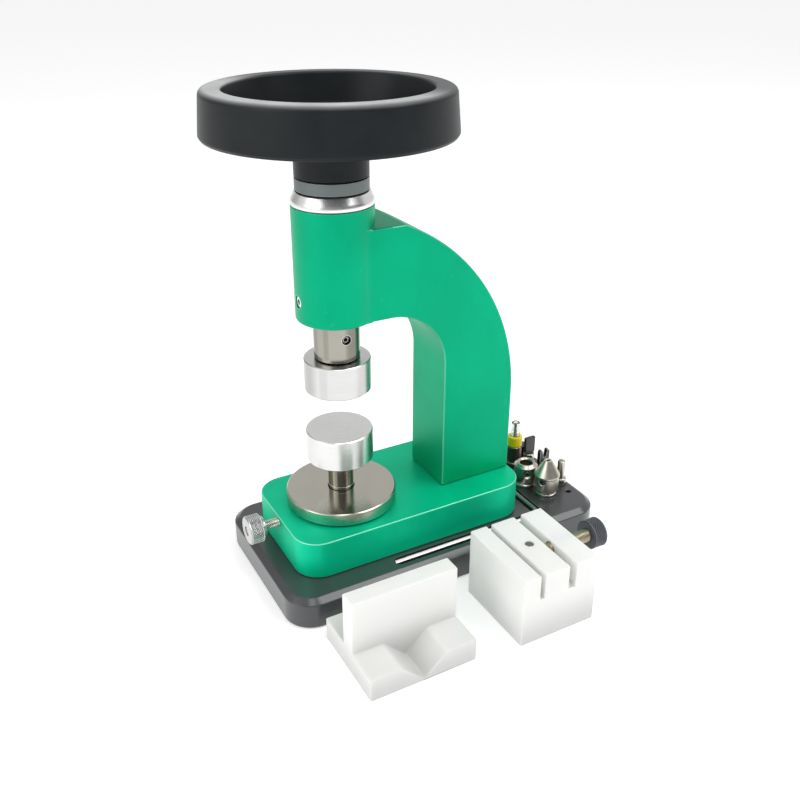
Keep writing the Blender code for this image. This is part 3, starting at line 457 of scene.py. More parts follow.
def lathe(name, profile, centre=RAM, axis="Z", sides=128, wave=None):
    """Turned piece: (r cos t, r sin t, h) for each profile point (r, h) and angle t.

    A wave takes (t, h) and gives what is taken off the radius, as for a knurl or a thread. The
    profile closes on itself unless it starts and ends on the axis.
    """
    profile = np.asarray(profile, float)
    angle = np.arange(sides) * TAU / sides
    radius, height = profile[:, :1], profile[:, 1:]
    if wave is not None:
        radius = radius - wave(angle[None], height) * (radius > 0)
    height = height + 0 * angle[None]
    rings = np.stack([radius * np.cos(angle), radius * np.sin(angle), height], axis=-1)
    on_axis = profile[0, 0] == 0.0 and profile[-1, 0] == 0.0
    return skin(name, aim(rings, centre, axis), closed=not on_axis)


def block(name, outline, low, high, axis="Z"):
    """Prism: a flat outline of (a, b) points carried from low to high along an axis.

    For Z the outline is (x, y), for X it is (y, z), and for Y it is (x, z).
    """
    a, b = np.asarray(outline, float).T
    level = np.array([low, high])[:, None] + 0 * a
    a, b = a + 0 * level, b + 0 * level
    rings = {"Z": (a, b, level), "X": (level, a, b), "Y": (a, level, b)}[axis]
    return skin(name, np.stack(rings, axis=-1))


def rounded_rectangle(half_x, half_y, corner, steps=10):
    """Outline of straight sides and quarter-circle corners, centred on the origin."""
    quarter = np.linspace(0, np.pi / 2, steps + 1)
    angle = (quarter + np.arange(4)[:, None] * np.pi / 2)
    x = np.array([1, -1, -1, 1])[:, None] * (half_x - corner) + corner * np.cos(angle)
    y = np.array([1, 1, -1, -1])[:, None] * (half_y - corner) + corner * np.sin(angle)
    return np.stack([x.ravel(), y.ravel()], axis=-1)


def slab(name, node, corner, edge):
    """Flat piece over a CAD node's box: its outline drawn in by each (inset, height) of an edge."""
    low, high, middle = span(node)
    half = (high - low) / 2
    rings = []
    for inset, height in edge:
        outline = rounded_rectangle(half[0] - inset, half[1] - inset, corner - inset)
        level = np.full((len(outline), 1), height)
        rings.append(np.hstack([outline + middle[:2], level]))
    return skin(name, np.array(rings))


def apply_modifiers(piece):
    graph = bpy.context.evaluated_depsgraph_get()
    mesh = bpy.data.meshes.new_from_object(piece.evaluated_get(graph))
    piece.modifiers.clear()
    piece.data = mesh


def combine(piece, others, operation="DIFFERENCE"):
    """Cut other solids out of a piece, or join them to it, and drop them."""
    for other in others:
        step = piece.modifiers.new(other.name, "BOOLEAN")
        step.operation = operation
        step.solver = "EXACT"
        step.object = other
    apply_modifiers(piece)
    for other in others:
        bpy.data.objects.remove(other, do_unlink=True)
    return piece


def hole(centre, radius, low, high, axis="Z", sides=48):
    """Cutter for a round hole from low to high along an axis through a centre."""
    return lathe("hole", [(0, low), (radius, low), (radius, high), (0, high)], centre, axis, sides)


def socket_screw(name, profile, outer, socket, centre, axis, sides=40):
    """Turned screw with a hexagon socket, given as (radius, depth), sunk into its outer end."""
    radius, depth = socket
    cutter = hole(centre, radius, outer - depth, outer + 0.001, axis, 6)
    return combine(lathe(name, profile, centre, axis, sides), [cutter])


def swing(piece, place, degrees):
    """Turn a piece made round the origin about Z, and carry it to a place on the base."""
    piece.data.transform(Matrix.Translation((*place, 0.0)) @ Matrix.Rotation(np.radians(degrees), 4, "Z"))
    return piece


def ease(piece, width, segments=3, angle=30):
    """Round the edges that turn more than an angle."""
    bevel = piece.modifiers.new("eased_edges", "BEVEL")
    bevel.width = width
    bevel.segments = segments
    bevel.limit_method = "ANGLE"
    bevel.angle_limit = np.radians(angle)
    bevel.harden_normals = False
    apply_modifiers(piece)
    return piece


def done(piece, material, body, slot, *nodes):
    """Shade a finished piece, paint it, and hand it to the body and the nodes it stands for."""
    mesh = piece.data
    mesh.shade_smooth()
    mesh.set_sharp_from_angle(angle=SHARP)
    weighted = piece.modifiers.new("face_normals", "WEIGHTED_NORMAL")
    weighted.keep_sharp = True
    mesh.materials.clear()
    mesh.materials.append(material)
    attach(piece, body)
    if nodes:
        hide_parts(*nodes)
    return piece


# ---- base and bed

GROOVE_OUT = 0.0372
GROOVE_WIDE = 0.0055
GROOVE_DEEP = 0.0027
INSERT_HOLES = ("pin_tool", "fork_tool", "blade_shank", "stub_tool")
CONE_FOOT = 0.0052
POCKETS = ("socket_holder", "cone_holder", "sleeve_body")
PADS = [f"foot_pad_{i}" for i in range(1, 5)]
BOLTS = ["column_bolt_1", "column_bolt_2"] + [f"bed_bolt_{i}" for i in range(1, 5)]


def body_radius(node):
    """Radius of a turned CAD node along X or Y, whichever is smaller."""
    low, high, _ = span(node)
    return min((high - low)[:2]) / 2


def groove_cutter():
    """L-shaped cutter: one leg beside the bed and one behind it, round at the two ends."""
    low, high, _ = span("hex_key")
    back, front, far = high[1] + 0.0004, low[1] - 0.0005, low[0] - 0.0040
    inner_x, inner_y = GROOVE_OUT - GROOVE_WIDE, back - GROOVE_WIDE
    end = GROOVE_WIDE / 2 - 0.0001
    corners = [(GROOVE_OUT, front, end), (GROOVE_OUT, back, 0.0008), (far, back, end), (far, inner_y, end),
               (inner_x, inner_y, 0.0008), (inner_x, front, end)]
    return block("groove", soften(corners), BASE_TOP - GROOVE_DEEP, BASE_TOP + 0.002)


def make_base():
    top = BASE_TOP
    edge = [(0.0005, 0.0), (0.00015, 0.0002), (0.0, 0.0006), (0.0, top - 0.0025),
            (0.0002, top - 0.0021), (0.0025, top - 0.0002), (0.0030, top)]
    base = slab("base_with_chamfer", "base_plate", 0.0127, edge)
    countersunk = [(0, top - 0.008), (0.0014, top - 0.008), (0.0014, top - 0.0004),
                   (0.0022, top + 0.0004), (0, top + 0.0004)]
    cutters = [groove_cutter(), lathe("spare", countersunk, (0.0254, 0.0738, 0), sides=48)]
    for node in POCKETS:
        radius = CONE_FOOT if node == "cone_holder" else body_radius(node)
        cutters.append(hole(foot(node), radius + 0.0003, top - 0.0015, top + 0.001))
    cutters += [hole(foot(node), 0.0032, top - 0.0080, top + 0.001) for node in INSERT_HOLES]
    cutters += [hole(foot(node), 0.0063, -0.001, 0.0010) for node in PADS]
    cutters += [hole(foot(node), 0.0051, -0.001, 0.0062) for node in BOLTS]
    done(combine(base, cutters), BLACK, "frame", "black_anodised", "base_plate")


def make_bolts():
    """Socket cap screws under the base, with a hexagon socket in each head."""
    for node in BOLTS:
        low, high, _ = span(node)
        shank = 0.0030 if node.startswith("column") else 0.0024
        profile = soften([(0, low[2]), (0.0048, low[2], 0.0005), (0.0048, 0.0059, 0.0002),
                          (shank, 0.0059), (shank, high[2] - 0.0005, 0.0003), (0, high[2])], 3)
        screw = lathe(f"{node}_screw", profile, foot(node), sides=48)
        socket = hole(foot(node), 0.0022, -0.001, 0.0035, sides=6)
        done(combine(screw, [socket]), SCREW, "frame", "screw_steel", node)


def make_pads():
    """Stuck-on rubber pads with a domed edge."""
    for node in PADS:
        low, high, _ = span(node)
        profile = rod(0.0060, low[2], high[2], 0.0005, 0.0002, 4)
        done(lathe(f"{node}_rubber", profile, foot(node), sides=64), RUBBER, "frame", "black_rubber", node)


def make_bed():
    low, high, _ = span("bed")
    top, bottom = high[2], low[2]
    turn = np.radians(np.linspace(0, 90, 5))
    radius = 0.0006
    upper = [(radius * (1 - np.cos(t)), top - radius * (1 - np.sin(t))) for t in turn]
    edge = [(0.0005, bottom), (0.0001, bottom + 0.00015), (0.0, bottom + 0.0005)] + upper
    cutters = [hole(RAM, 0.00605, 0.0224, top + 0.001),
               hole(level_axis("bed_clamp_stud"), 0.0022, -RAM[1], 0.002 - low[1], "-Y")]
    done(combine(slab("bed_slab", "bed", 0.0119, edge), cutters), BED_GREEN_PAINTED_LIGHT, "frame", "green_anodised", "bed")


# ---- arm

THROAT = 0.0270
ARCH = 0.0962
HALF_ARM = 0.0145
HEAD = 0.0169
SEAM = 0.0004         # the arm's foot is broken back by this much all round


def arm_curves(count):
    """Inner and outer curves of the arm in (y, z), as equally many paired stations.

    Inner: up the column's front, round a quarter circle, and level to the head. Outer: up the
    back, round a large arc about a centre below the head, and level along the flat top.
    """
    low, high, _ = span("c_arm")
    foot, back = low[2], high[1]
    front, under, top = RAM[1] + 0.0454, ARM_UNDER, ARM_TOP
    throat = np.array([front - THROAT, under - THROAT])
    arch = np.array([back - ARCH, BED_TOP + 0.0415])
    end_angle = np.arcsin((top - arch[1]) / ARCH)
    split = np.radians(14)
    share = np.linspace(0, 1, count)[:, None]
    quarter = share * np.pi / 2
    inner = [np.array([front, foot]) + share * np.array([0, throat[1] - foot]),
             throat + THROAT * np.hstack([np.cos(quarter), np.sin(quarter)]),
             np.array([throat[0], under]) + share * np.array([RAM[1] - throat[0], 0])]
    first = split * np.clip(share * 3 - 2, 0, 1)
    rise = np.clip(share * 1.5, 0, 1)
    column = np.hstack([np.full_like(share, back), foot + rise * (arch[1] - foot)])
    bend = arch + ARCH * np.hstack([np.cos(first), np.sin(first)])
    column = np.where(share < 2 / 3, column, bend)
    sweep = split + share * (end_angle - split)
    crest = arch + ARCH * np.array([np.cos(end_angle), np.sin(end_angle)])
    outer = [column, arch + ARCH * np.hstack([np.cos(sweep), np.sin(sweep)]),
             crest + share * np.array([RAM[1] - crest[0], 0])]
    return np.concatenate(inner), np.concatenate(outer)


def arm_loft():
    """Arm between the two curves: a rounded rectangle, 29 mm wide, spans each pair of stations."""
    inner, outer = (np.insert(curve, 1, curve[0] + (0, SEAM), axis=0) for curve in arm_curves(25))
    across = outer - inner
    depth = np.linalg.norm(across, axis=1)
    across /= depth[:, None]
    middle = (inner + outer) / 2
    inset = np.zeros(len(depth))
    inset[0] = SEAM
    section = np.array([rounded_rectangle(HALF_ARM - i, d / 2 - i, 0.0009, 4) for i, d in zip(inset, depth)])
    y = middle[:, None, 0] + section[..., 1] * across[:, None, 0]
    z = middle[:, None, 1] + section[..., 1] * across[:, None, 1]
    return skin("arm_with_head", np.stack([section[..., 0], y, z], axis=-1))


def head_fillet():
    """Prism in the corner between the round head and the arm's sides, with concave faces.

    Its faces follow a 6 mm circle that touches the head and the side of the arm.
    """
    fillet = 0.0060
    across = HALF_ARM + fillet
    along = np.sqrt((HEAD + fillet) ** 2 - across ** 2)
    touch = np.arctan2(along, across)
    angle = np.linspace(np.pi + touch, np.pi, 7)
    right = np.stack([across + fillet * np.cos(angle), along + fillet * np.sin(angle)], axis=1)
    left = right[::-1] * (-1, 1)
    outline = np.concatenate([right, left]) + RAM[:2]
    return block("fillet", outline, ARM_UNDER, ARM_TOP)


def make_arm():
    top = span("c_arm")[1][2]
    head = lathe("head", rod(HEAD, ARM_UNDER, top, 0.0008, 0.0003, 4))
    arm = combine(arm_loft(), [head, head_fillet()], "UNION")
    seat = span("head_cap")[0][2] - 0.0003
    bore = [(0, ARM_UNDER - 0.001), (0.0108, ARM_UNDER - 0.001), (0.0102, ARM_UNDER + 0.0006),
            (0.0102, top + 0.001), (0, top + 0.001)]
    cutters = [lathe("bore", bore), hole(RAM, 0.0138, seat, top + 0.001, sides=96),
               hole(level_axis("ram_key_screw"), 0.0028, -RAM[1], -RAM[1] + 0.030, "-Y")]
    done(combine(arm, cutters), GREEN, "frame", "green_anodised", "c_arm")


def make_cap():
    """Bright cap: a short upright band under a convex cone, with a skirt inside the head."""
    low, high, _ = span("head_cap")
    top, seat = high[2], span("c_arm")[1][2] + 0.0003
    corners = [(0.0063, top, 0.0002), (0.0152, top, 0.0005), (HEAD, top - 0.0036, 0.0040),
               (HEAD, seat, 0.0002), (0.0135, seat), (0.0135, low[2]), (0.0108, low[2]),
               (0.0108, BED_TOP + 0.1395), (0.0063, BED_TOP + 0.1395)]
    done(lathe("bearing_cap", soften(corners, 6)), bright_at("head_cap", shade=0.93),
         "frame", "bright_aluminium", "head_cap")


# ---- handwheel stack

def make_collar():
    low, high, middle = span("shaft_collar")
    collar = lathe("grey_collar", rod(0.0149, low[2], high[2], 0.0004, 0.0004, 4, 0.0063))
    screw_hole_cut = hole(level_axis("collar_screw"), 0.0019, RAM[1] + 0.0070, RAM[1] + 0.016, "Y")
    grey = turned("collar_steel", rgb(0.15, 0.17, 0.17), 0.42, middle, depth=0.00001)
    done(combine(collar, [screw_hole_cut]), grey, "spindle", "grey_steel", "shaft_collar")


def wheel_black(top):
    """Black anodising, worn a little pale all round the inner edge of the rim, with a painted highlight on the
    rim's top near that edge on the front of the wheel and on the other edges.
    """
    black = rgb(0.013, 0.0158, 0.0175)
    paint = Paint("wheel_black", specular_ior_level=0.16)
    radius, height = ring_coordinates(paint, RAM + (0, 0, top), "Z")
    cloud = paint.noise(paint.place(), 60.0, 4.0, 0.6)
    x, y, _ = paint.axes(paint.place(RAM))
    # Painted highlight: a pale band on the top of the rim near its inner edge, only on the front of the wheel.
    front = (x * 0.7 - y * 1.1).band(-0.020, 0.020)
    painted_rim_highlight = (1.0 - radius.band(0.0462, 0.0488)) * radius.band(0.0400, 0.0406) * height.band(-0.0024, -0.0010)
    painted_rim_highlight = painted_rim_highlight * front
    worn = radius.band(0.0400, 0.0412) * height.band(-0.0016, -0.0002) * 0.30
    tone = paint.mix(cloud.band(0.3, 0.7), shaded(black, 0.85), shaded(black, 1.15))
    tone = paint.mix(worn, tone, rgb(0.16, 0.165, 0.17))
    tone = paint.mix(painted_rim_highlight * (cloud * 0.6 + 0.5), tone, rgb(0.55, 0.56, 0.56))
    # Painted highlight on the edges.
    paint.colour(paint.mix(paint.edges(0.0004) * 0.4, tone, rgb(0.08, 0.09, 0.095)))
    blast = paint.noise(paint.place(), 2400.0)
    paint.roughness(blast * 0.10 + 0.33)
    paint.relief(blast, 0.000008)
    return paint.material


def make_handwheel():
    """Dished wheel: (r, h) runs over the round rim, down the tapered side, in to the long hub."""
    low, high, _ = span("handwheel")
    top, under = high[2], BED_TOP + 0.1650
    floor, foot = BED_TOP + 0.1686, low[2]
    corners = [(0.0053, floor, 0.0003), (0.0112, floor), (0.0300, floor - 0.0004, 0.01),
               (0.0372, floor + 0.0006, 0.004), (0.0404, top, 0.0013), (0.0486, top, 0.0024),
               (0.0500, under + 0.0020, 0.0008), (0.0500, under + 0.0012, 0.0003),
               (0.0492, under, 0.0006), (0.0455, under, 0.0006), (0.0445, under + 0.0010, 0.0006),
               (0.0200, under + 0.0008, 0.002), (0.0149, under - 0.0008, 0.0022), (0.0149, foot, 0.0003),
               (0.0053, foot)]
    wheel = lathe("dished_wheel", soften(corners, 7), sides=192)
    done(wheel, wheel_black(top), "spindle", "black_anodised", "handwheel")


def make_wheel_nut():
    """Washer, and a hexagon nut with chamfered corners."""
    low, high, _ = span("wheel_washer")
    done(lathe("turned_washer", rod(0.0088, low[2], high[2], 0.0003, 0.0003, bore=0.0043)),
         bright_at("wheel_washer"), "spindle", "bright_aluminium", "wheel_washer")
    low, high, _ = span("wheel_nut")
    under, over = low[2] - 0.001, high[2] + 0.001
    angle = (np.arange(6) + 0.5) * TAU / 6
    outline = 0.0075 * np.stack([np.cos(angle), np.sin(angle)], axis=1) + RAM[:2]
    nut = block("hexagon_nut", outline, low[2], high[2])
    outside = [(0, under), (0.0066, under), (0.0076, low[2] + 0.0006), (0.0076, high[2] - 0.0006),
               (0.0066, over), (0, over)]
    combine(nut, [lathe("turned_outside", outside)], "INTERSECT")
    combine(nut, [hole(RAM, 0.0043, under, over, sides=128)])
    done(nut, bright_at("wheel_nut"), "spindle", "bright_aluminium", "wheel_nut")


# ---- ram, dies and anvil

# Painted reflections of dark surroundings down the ram's side.
RAM_PAINTED_REFLECTIONS = ((16, 0.92, 0.45), (-100, 0.90, 0.45), (-52, 0.985, 0.22), (40, 0.985, 0.25))


def make_ram():
    low, high, _ = span("ram")
    ram = lathe("ram_shaft", rod(0.0099, low[2], high[2], 0.0004, 0.0004, 4), sides=160)
    keyway = block("keyway", rounded_rectangle(0.0023, 0.0018, 0.0001, 1) + (0, RAM[1] - 0.0101),
                   BED_TOP + 0.0910, BED_TOP + 0.1222)
    cutters = [hole(RAM, 0.0063, BED_TOP + 0.0873, high[2] + 0.001),
               hole(RAM, 0.0059, low[2] - 0.001, BED_TOP + 0.0853, sides=128), keyway,
               hole(span("ram_screw")[2] * (0, 1, 1), 0.0021, 0.0060, 0.012, "X")]
    finish = steel_at("ram", shade=0.64, side=0.0099, streaks=RAM_PAINTED_REFLECTIONS)
    done(combine(ram, cutters), finish, "ram", "stainless", "ram")


HOLDER_SCREWS = (("socket_holder", 0.0036, 0.0053, -29), ("cone_holder", 0.0024, 0.0055, -59))


def grub(node, radius, tip, outer, axis, body, name):
    """Headless screw with a hexagon socket, along an axis from tip to outer."""
    centre = span(node)[2].copy()
    centre["XYZ".index(axis)] = 0.0
    profile = rod(radius, tip, outer, 0.0002, 0.0003)
    screw = socket_screw(name, profile, outer, (radius * 0.58, 0.0016), centre, axis)
    done(screw, SCREW, body, "screw_steel", node)


def make_grubs():
    low, high, _ = span("ram_screw")
    grub("ram_screw", 0.0018, low[0], high[0], "X", "ram", "ram_grub")
    low, high, _ = span("collar_screw")
    grub("collar_screw", 0.0015, low[1], high[1], "Y", "spindle", "collar_grub")
    low, high, _ = span("ram_key_screw")
    outer, step = -low[1], 0.0107 - RAM[1]
    profile = soften([(0, -high[1]), (0.0020, -high[1], 0.0002), (0.0020, step), (0.0025, step),
                      (0.0025, outer, 0.0003), (0, outer)], 3)
    centre = level_axis("ram_key_screw")
    screw = socket_screw("head_key_screw", profile, outer, (0.0013, 0.0018), centre, "-Y", 48)
    done(screw, bright_at("ram_key_screw", "Y"), "frame", "screw_steel", "ram_key_screw")
    for body, tip, outer, faces in HOLDER_SCREWS:
        node = f"{body}_screw"
        profile = rod(0.0015, tip, outer, 0.0002, 0.0003)
        screw = socket_screw(f"{node}_grub", profile, outer, (0.0009, 0.0014), (0, 0, span(node)[2][2]), "X")
        done(swing(screw, span(body)[2][:2], faces), SCREW, body, "screw_steel", node)


# Painted reflections of dark surroundings down the sides of the dies.
DIE_PAINTED_REFLECTIONS = {"upper_die": ((-95, 0.80, 0.30), (-50, 0.985, 0.12), (24, 0.95, 0.14)),
               "lower_die": ((-22, 0.99, 0.12), (14, 0.985, 0.16), (50, 0.96, 0.15))}


def die(name, node, socket_radius, socket_depth, socket_up, body, shade):
    """Turned disc with a broken edge and a blind socket in its upper or lower face."""
    low, high, _ = span(node)
    radius, chamfer = body_radius(node), 0.0004
    mouth, back = (high[2], low[2]) if socket_up else (low[2], high[2])
    inward = -1 if socket_up else 1
    corners = [(0, mouth + inward * socket_depth), (socket_radius, mouth + inward * socket_depth),
               (socket_radius, mouth), (radius - chamfer, mouth, 0.0001),
               (radius, mouth + inward * chamfer, 0.0001), (radius, back - inward * chamfer, 0.0001),
               (radius - chamfer, back, 0.0001), (0, back)]
    finish = bright_at(node, shade=shade, side=radius, streaks=DIE_PAINTED_REFLECTIONS[node])
    done(lathe(name, soften(corners, 3), sides=160), finish, body, "bright_aluminium", node)


def make_post():
    """Post with a fine witness groove just above the anvil plate."""
    low, high, _ = span("die_post")
    radius, groove = 0.00575, span("anvil_plate")[1][2] + 0.0016
    corners = [(0, low[2]), (radius, low[2], 0.0003), (radius, groove - 0.00015), (0.00555, groove),
               (radius, groove + 0.00015), (radius, high[2], 0.0005), (0, high[2])]
    # Painted reflections of dark surroundings down the post's side.
    streaks = ((-45, 0.97, 0.4), (20, 0.96, 0.4))
    steel = steel_at("die_post", rough=0.16, shade=0.62, side=radius, streaks=streaks)
    done(lathe("die_post_turned", soften(corners, 3), sides=96), steel, "frame", "stainless", "die_post")


def make_anvil():
    low, high, _ = span("anvil_plate")
    radius = body_radius("anvil_plate")
    corners = [(0.00605, high[2], 0.0002), (radius - 0.0005, high[2], 0.0002),
               (radius, high[2] - 0.0005, 0.0002), (radius, low[2] + 0.0008, 0.0002),
               (radius - 0.0008, low[2], 0.0001), (0.00605, low[2])]
    steel = steel_at("anvil_plate", rough=0.15, shade=0.88, side=radius, duller=0.12)
    done(lathe("anvil_disc", soften(corners, 4), sides=192), steel, "frame", "stainless", "anvil_plate")


# ---- knurled screws

def diamond_knurl(count, pitch, depth, low, high):
    """Two crossed sets of grooves: depth * the larger of |2 frac(n t / tau +- h / pitch) - 1|.

    The knurl fades out over 0.4 mm at each end.
    """
    def taken(angle, height):
        one = angle / TAU * count + height / pitch
        other = angle / TAU * count - height / pitch
        saw = np.maximum(np.abs(2 * (one % 1) - 1), np.abs(2 * (other % 1) - 1))
        fade = np.clip((height - low) / 0.0004, 0, 1) * np.clip((high - height) / 0.0004, 0, 1)
        return depth * saw * fade
    return taken


def thread(pitch, depth):
    """Helical groove: depth * |2 frac(h / pitch - t / tau) - 1|."""
    def taken(angle, height):
        return depth * np.abs(2 * ((height / pitch - angle / TAU) % 1) - 1)
    return taken


def rows(start, end, radius, count):
    return [(radius, height) for height in np.linspace(start, end, count)]


def make_bed_clamp():
    low, high, middle = span("bed_clamp_knob")
    centre, outer, inner = middle * (1, 0, 1), -low[1], -high[1]
    radius = 0.0065
    crests = rows(inner + 0.0018, outer - 0.0007, radius, 40)
    profile = [(0.0022, inner), (0.0046, inner), (0.0048, inner + 0.0003), (0.0048, inner + 0.0010),
               (0.0058, inner + 0.0013)] + crests + [(0.0060, outer - 0.0002), (0.0054, outer),
               (0.0022, outer)]
    wave = diamond_knurl(30, 0.0012, 0.00036, inner + 0.0017, outer - 0.0006)
    knob = lathe("bed_clamp_knurled", profile, centre, "-Y", 240, wave)
    # Silver knurl: painted highlight on the crests, painted shade in the grooves.
    silver = knurled("knurled_silver", rgb(0.60, 0.60, 0.59), rgb(0.97, 0.97, 0.96), rgb(0.42, 0.42, 0.42),
                     0.34, middle, radius, 1.0)
    done(knob, silver, "bed_clamp", "bright_aluminium", "bed_clamp_knob")
    low, high, middle = span("bed_clamp_stud")
    start, end = -high[1], -low[1]
    turns = rows(start + 0.0005, end - 0.0004, 0.0021, 330)
    profile = [(0, start), (0.0015, start)] + turns + [(0.0016, end), (0, end)]
    stud = lathe("bed_clamp_threaded", profile, middle * (1, 0, 1), "-Y", 36, thread(0.0007, 0.0003))
    done(stud, steel_at("bed_clamp_stud", "Y", 0.25), "bed_clamp", "stainless", "bed_clamp_stud")


def make_block_clamp():
    low, high, middle = span("clamp_knob")
    centre, inner, outer = middle * (1, 0, 1), low[1], high[1]
    crests = rows(inner + 0.0006, outer - 0.0006, 0.0066, 40)
    profile = [(0.0031, inner), (0.0060, inner)] + crests + [(0.0060, outer), (0.0040, outer),
               (0.0038, outer - 0.0003), (0.0031, outer - 0.0003)]
    wave = diamond_knurl(30, 0.0012, 0.00036, inner + 0.0005, outer - 0.0005)
    knob = lathe("block_clamp_knurled", profile, centre, "Y", 240, wave)
    # Black knurl: painted highlight on the crests, painted shade in the grooves.
    black = knurled("knurled_black", rgb(0.055, 0.058, 0.068), rgb(0.34, 0.36, 0.42), rgb(0.028, 0.03, 0.036),
                    0.42, middle, 0.0066, 0.2)
    done(knob, black, "block_clamp", "black_anodised", "clamp_knob")
    low, high, middle = span("clamp_screw")
    turns = rows(low[1] + 0.0006, high[1] - 0.0004, 0.0029, 260)
    profile = [(0, low[1]), (0.0022, low[1])] + turns + [(0.0024, high[1]), (0, high[1])]
    screw = lathe("brass_clamp_screw", profile, middle * (1, 0, 1), "Y", 48, thread(0.0008, 0.00034))
    # Brass thread: painted highlight on the crests, painted shade in the grooves.
    brass = knurled("threaded_brass", rgb(0.70, 0.62, 0.44), rgb(0.80, 0.74, 0.58), rgb(0.26, 0.21, 0.12),
                    0.34, middle, 0.0029, 1.0)
    done(screw, brass, "block_clamp", "brass", "clamp_screw")


# ---- tools on the base

def make_hex_key():
    """Hexagon carried along an L-shaped path with a round bend: path + a * normal + b * up."""
    low, high, _ = span("hex_key")
    size = 0.0025
    x, back, front, far = high[0] - size / 2, high[1] - size / 2, low[1], low[0]
    bend = soften([(x, front), (x, back, 0.0045), (far, back)], 12)
    path = np.concatenate([[(x, front)], bend[1:-1], [(far, back)]])
    forward = np.gradient(path, axis=0)
    forward /= np.linalg.norm(forward, axis=1)[:, None]
    normal = np.stack([forward[:, 1], -forward[:, 0]], axis=1)
    angle = (np.arange(6) + 0.5) * TAU / 6
    a, b = size / np.sqrt(3) * np.stack([np.cos(angle), np.sin(angle)])
    flat = path[:, None] + a[None, :, None] * normal[:, None]
    level = np.broadcast_to((low[2] + high[2]) / 2 + b, flat.shape[:2])
    key = skin("hexagon_key", np.dstack([flat, level]))
    ease(key, 0.00018, 2, 40)
    bright = turned("key_nickel", rgb(0.34, 0.34, 0.33), 0.26, (x, 0, level[0, 0]), "Y")
    done(key, bright, "hex_key", "stainless", "hex_key")


def screw_hole(body, faces):
    """Countersunk hole for a holder's grub screw, facing a direction in degrees from +X."""
    reach, height = body_radius(body), span(f"{body}_screw")[2][2]
    profile = [(0, 0.0030), (0.0018, 0.0030), (0.0018, reach - 0.0007), (0.0025, reach),
               (0.0025, 0.009), (0, 0.009)]
    return swing(lathe("hole", profile, (0, 0, height), "X", 48), span(body)[2][:2], faces)


def make_holders():
    """Socket and cone holders, with a ring groove above a narrower foot."""
    low, high, _ = span("socket_holder")
    top, radius = high[2], body_radius("socket_holder")
    corners = [(0, BASE_TOP + 0.0022), (0.0032, BASE_TOP + 0.0022), (0.0032, top - 0.0007),
               (0.0038, top, 0.0001), (radius - 0.0014, top, 0.0001), (radius, top - 0.0014, 0.0002),
               (radius, BASE_TOP + 0.0030, 0.0002), (radius - 0.0004, BASE_TOP + 0.0026),
               (radius - 0.0004, BASE_TOP + 0.0020), (radius, BASE_TOP + 0.0016), (radius, low[2]), (0, low[2])]
    profiles = {"socket_holder": (corners, 0.27)}
    low, high, _ = span("cone_holder")
    top, radius, lip, neck = high[2], 0.0060, BASE_TOP + 0.0112, CONE_FOOT - 0.0004
    corners = [(0, top - 0.0030), (0.0009, top - 0.0030), (0.0009, top - 0.0002), (0.0011, top),
               (0.0018, top, 0.0002), (0.0063, lip, 0.0003), (0.0063, lip - 0.0009, 0.0002),
               (radius, lip - 0.0014), (radius, BASE_TOP + 0.0032, 0.0010), (CONE_FOOT, BASE_TOP + 0.0022),
               (neck, BASE_TOP + 0.0019), (neck, BASE_TOP + 0.0013), (CONE_FOOT, BASE_TOP + 0.0010),
               (CONE_FOOT, low[2]), (0, low[2])]
    profiles["cone_holder"] = (corners, 0.32)
    for holder, _, _, faces in HOLDER_SCREWS:
        corners, rough = profiles[holder]
        made = lathe(f"{holder}_turned", soften(corners, 3), foot(holder), sides=96)
        satin = steel_at(holder, rough=rough)
        done(combine(made, [screw_hole(holder, faces)]), satin, holder, "stainless", holder)


def insert_shank(name, node, top):
    """Turned shank standing in its hole, with a broken upper edge."""
    profile = rod(0.0029, span(node)[0][2], top, 0.0003, 0.0003)
    return lathe(name, profile, foot(node), sides=64)


def make_inserts():
    _, high, middle = span("pin_tool")
    pin = lathe("pin", rod(0.0019, BASE_TOP, high[2], 0.0, 0.0003), foot("pin_tool"), sides=48)
    slot = block("slot", rounded_rectangle(0.0003, 0.003, 0.00005, 1) + middle[:2],
                 high[2] - 0.002, high[2] + 0.001)
    pin_tool = combine(insert_shank("pin_insert", "pin_tool", BASE_TOP + 0.0042), [pin], "UNION")
    done(combine(pin_tool, [slot]), steel_at("pin_tool"), "pin_tool", "stainless", "pin_tool")
    _, high, middle = span("fork_tool")
    top, notch = high[2], BASE_TOP + 0.0085
    half = [(0.0029, BASE_TOP), (0.0029, top - 0.0007), (0.0024, top, 0.0002), (0.0014, top, 0.0002),
            (0.0009, notch, 0.0008)]
    other = [(-corner[0], *corner[1:]) for corner in reversed(half)]
    outline = soften(half + other, 4) + (middle[1], 0)
    tip = block("fork", outline, middle[0] - 0.0012, middle[0] + 0.0012, "X")
    fork = combine(insert_shank("fork_insert", "fork_tool", BASE_TOP + 0.0064), [tip], "UNION")
    done(fork, SCREW, "fork_tool", "screw_steel", "fork_tool")
    low, high, middle = span("blade")
    corners = [(-0.0030, low[2]), (0.0030, low[2]), (0.0030, high[2], 0.0004), (-0.0030, high[2], 0.0004)]
    outline = soften(corners, 3)
    blade = block("ground_blade", outline + (middle[1], 0), middle[0] - 0.0009, middle[0] + 0.0009, "X")
    done(ease(blade, 0.0002, 2, 50), BLADE_BLACK, "blade_tool", "black_anodised", "blade")
    done(insert_shank("blade_insert", "blade_shank", span("blade_shank")[1][2]),
         steel_at("blade_shank"), "blade_tool", "stainless", "blade_shank")
    done(insert_shank("stub_insert", "stub_tool", span("stub_tool")[1][2]),
         SCREW, "stub_tool", "screw_steel", "stub_tool")


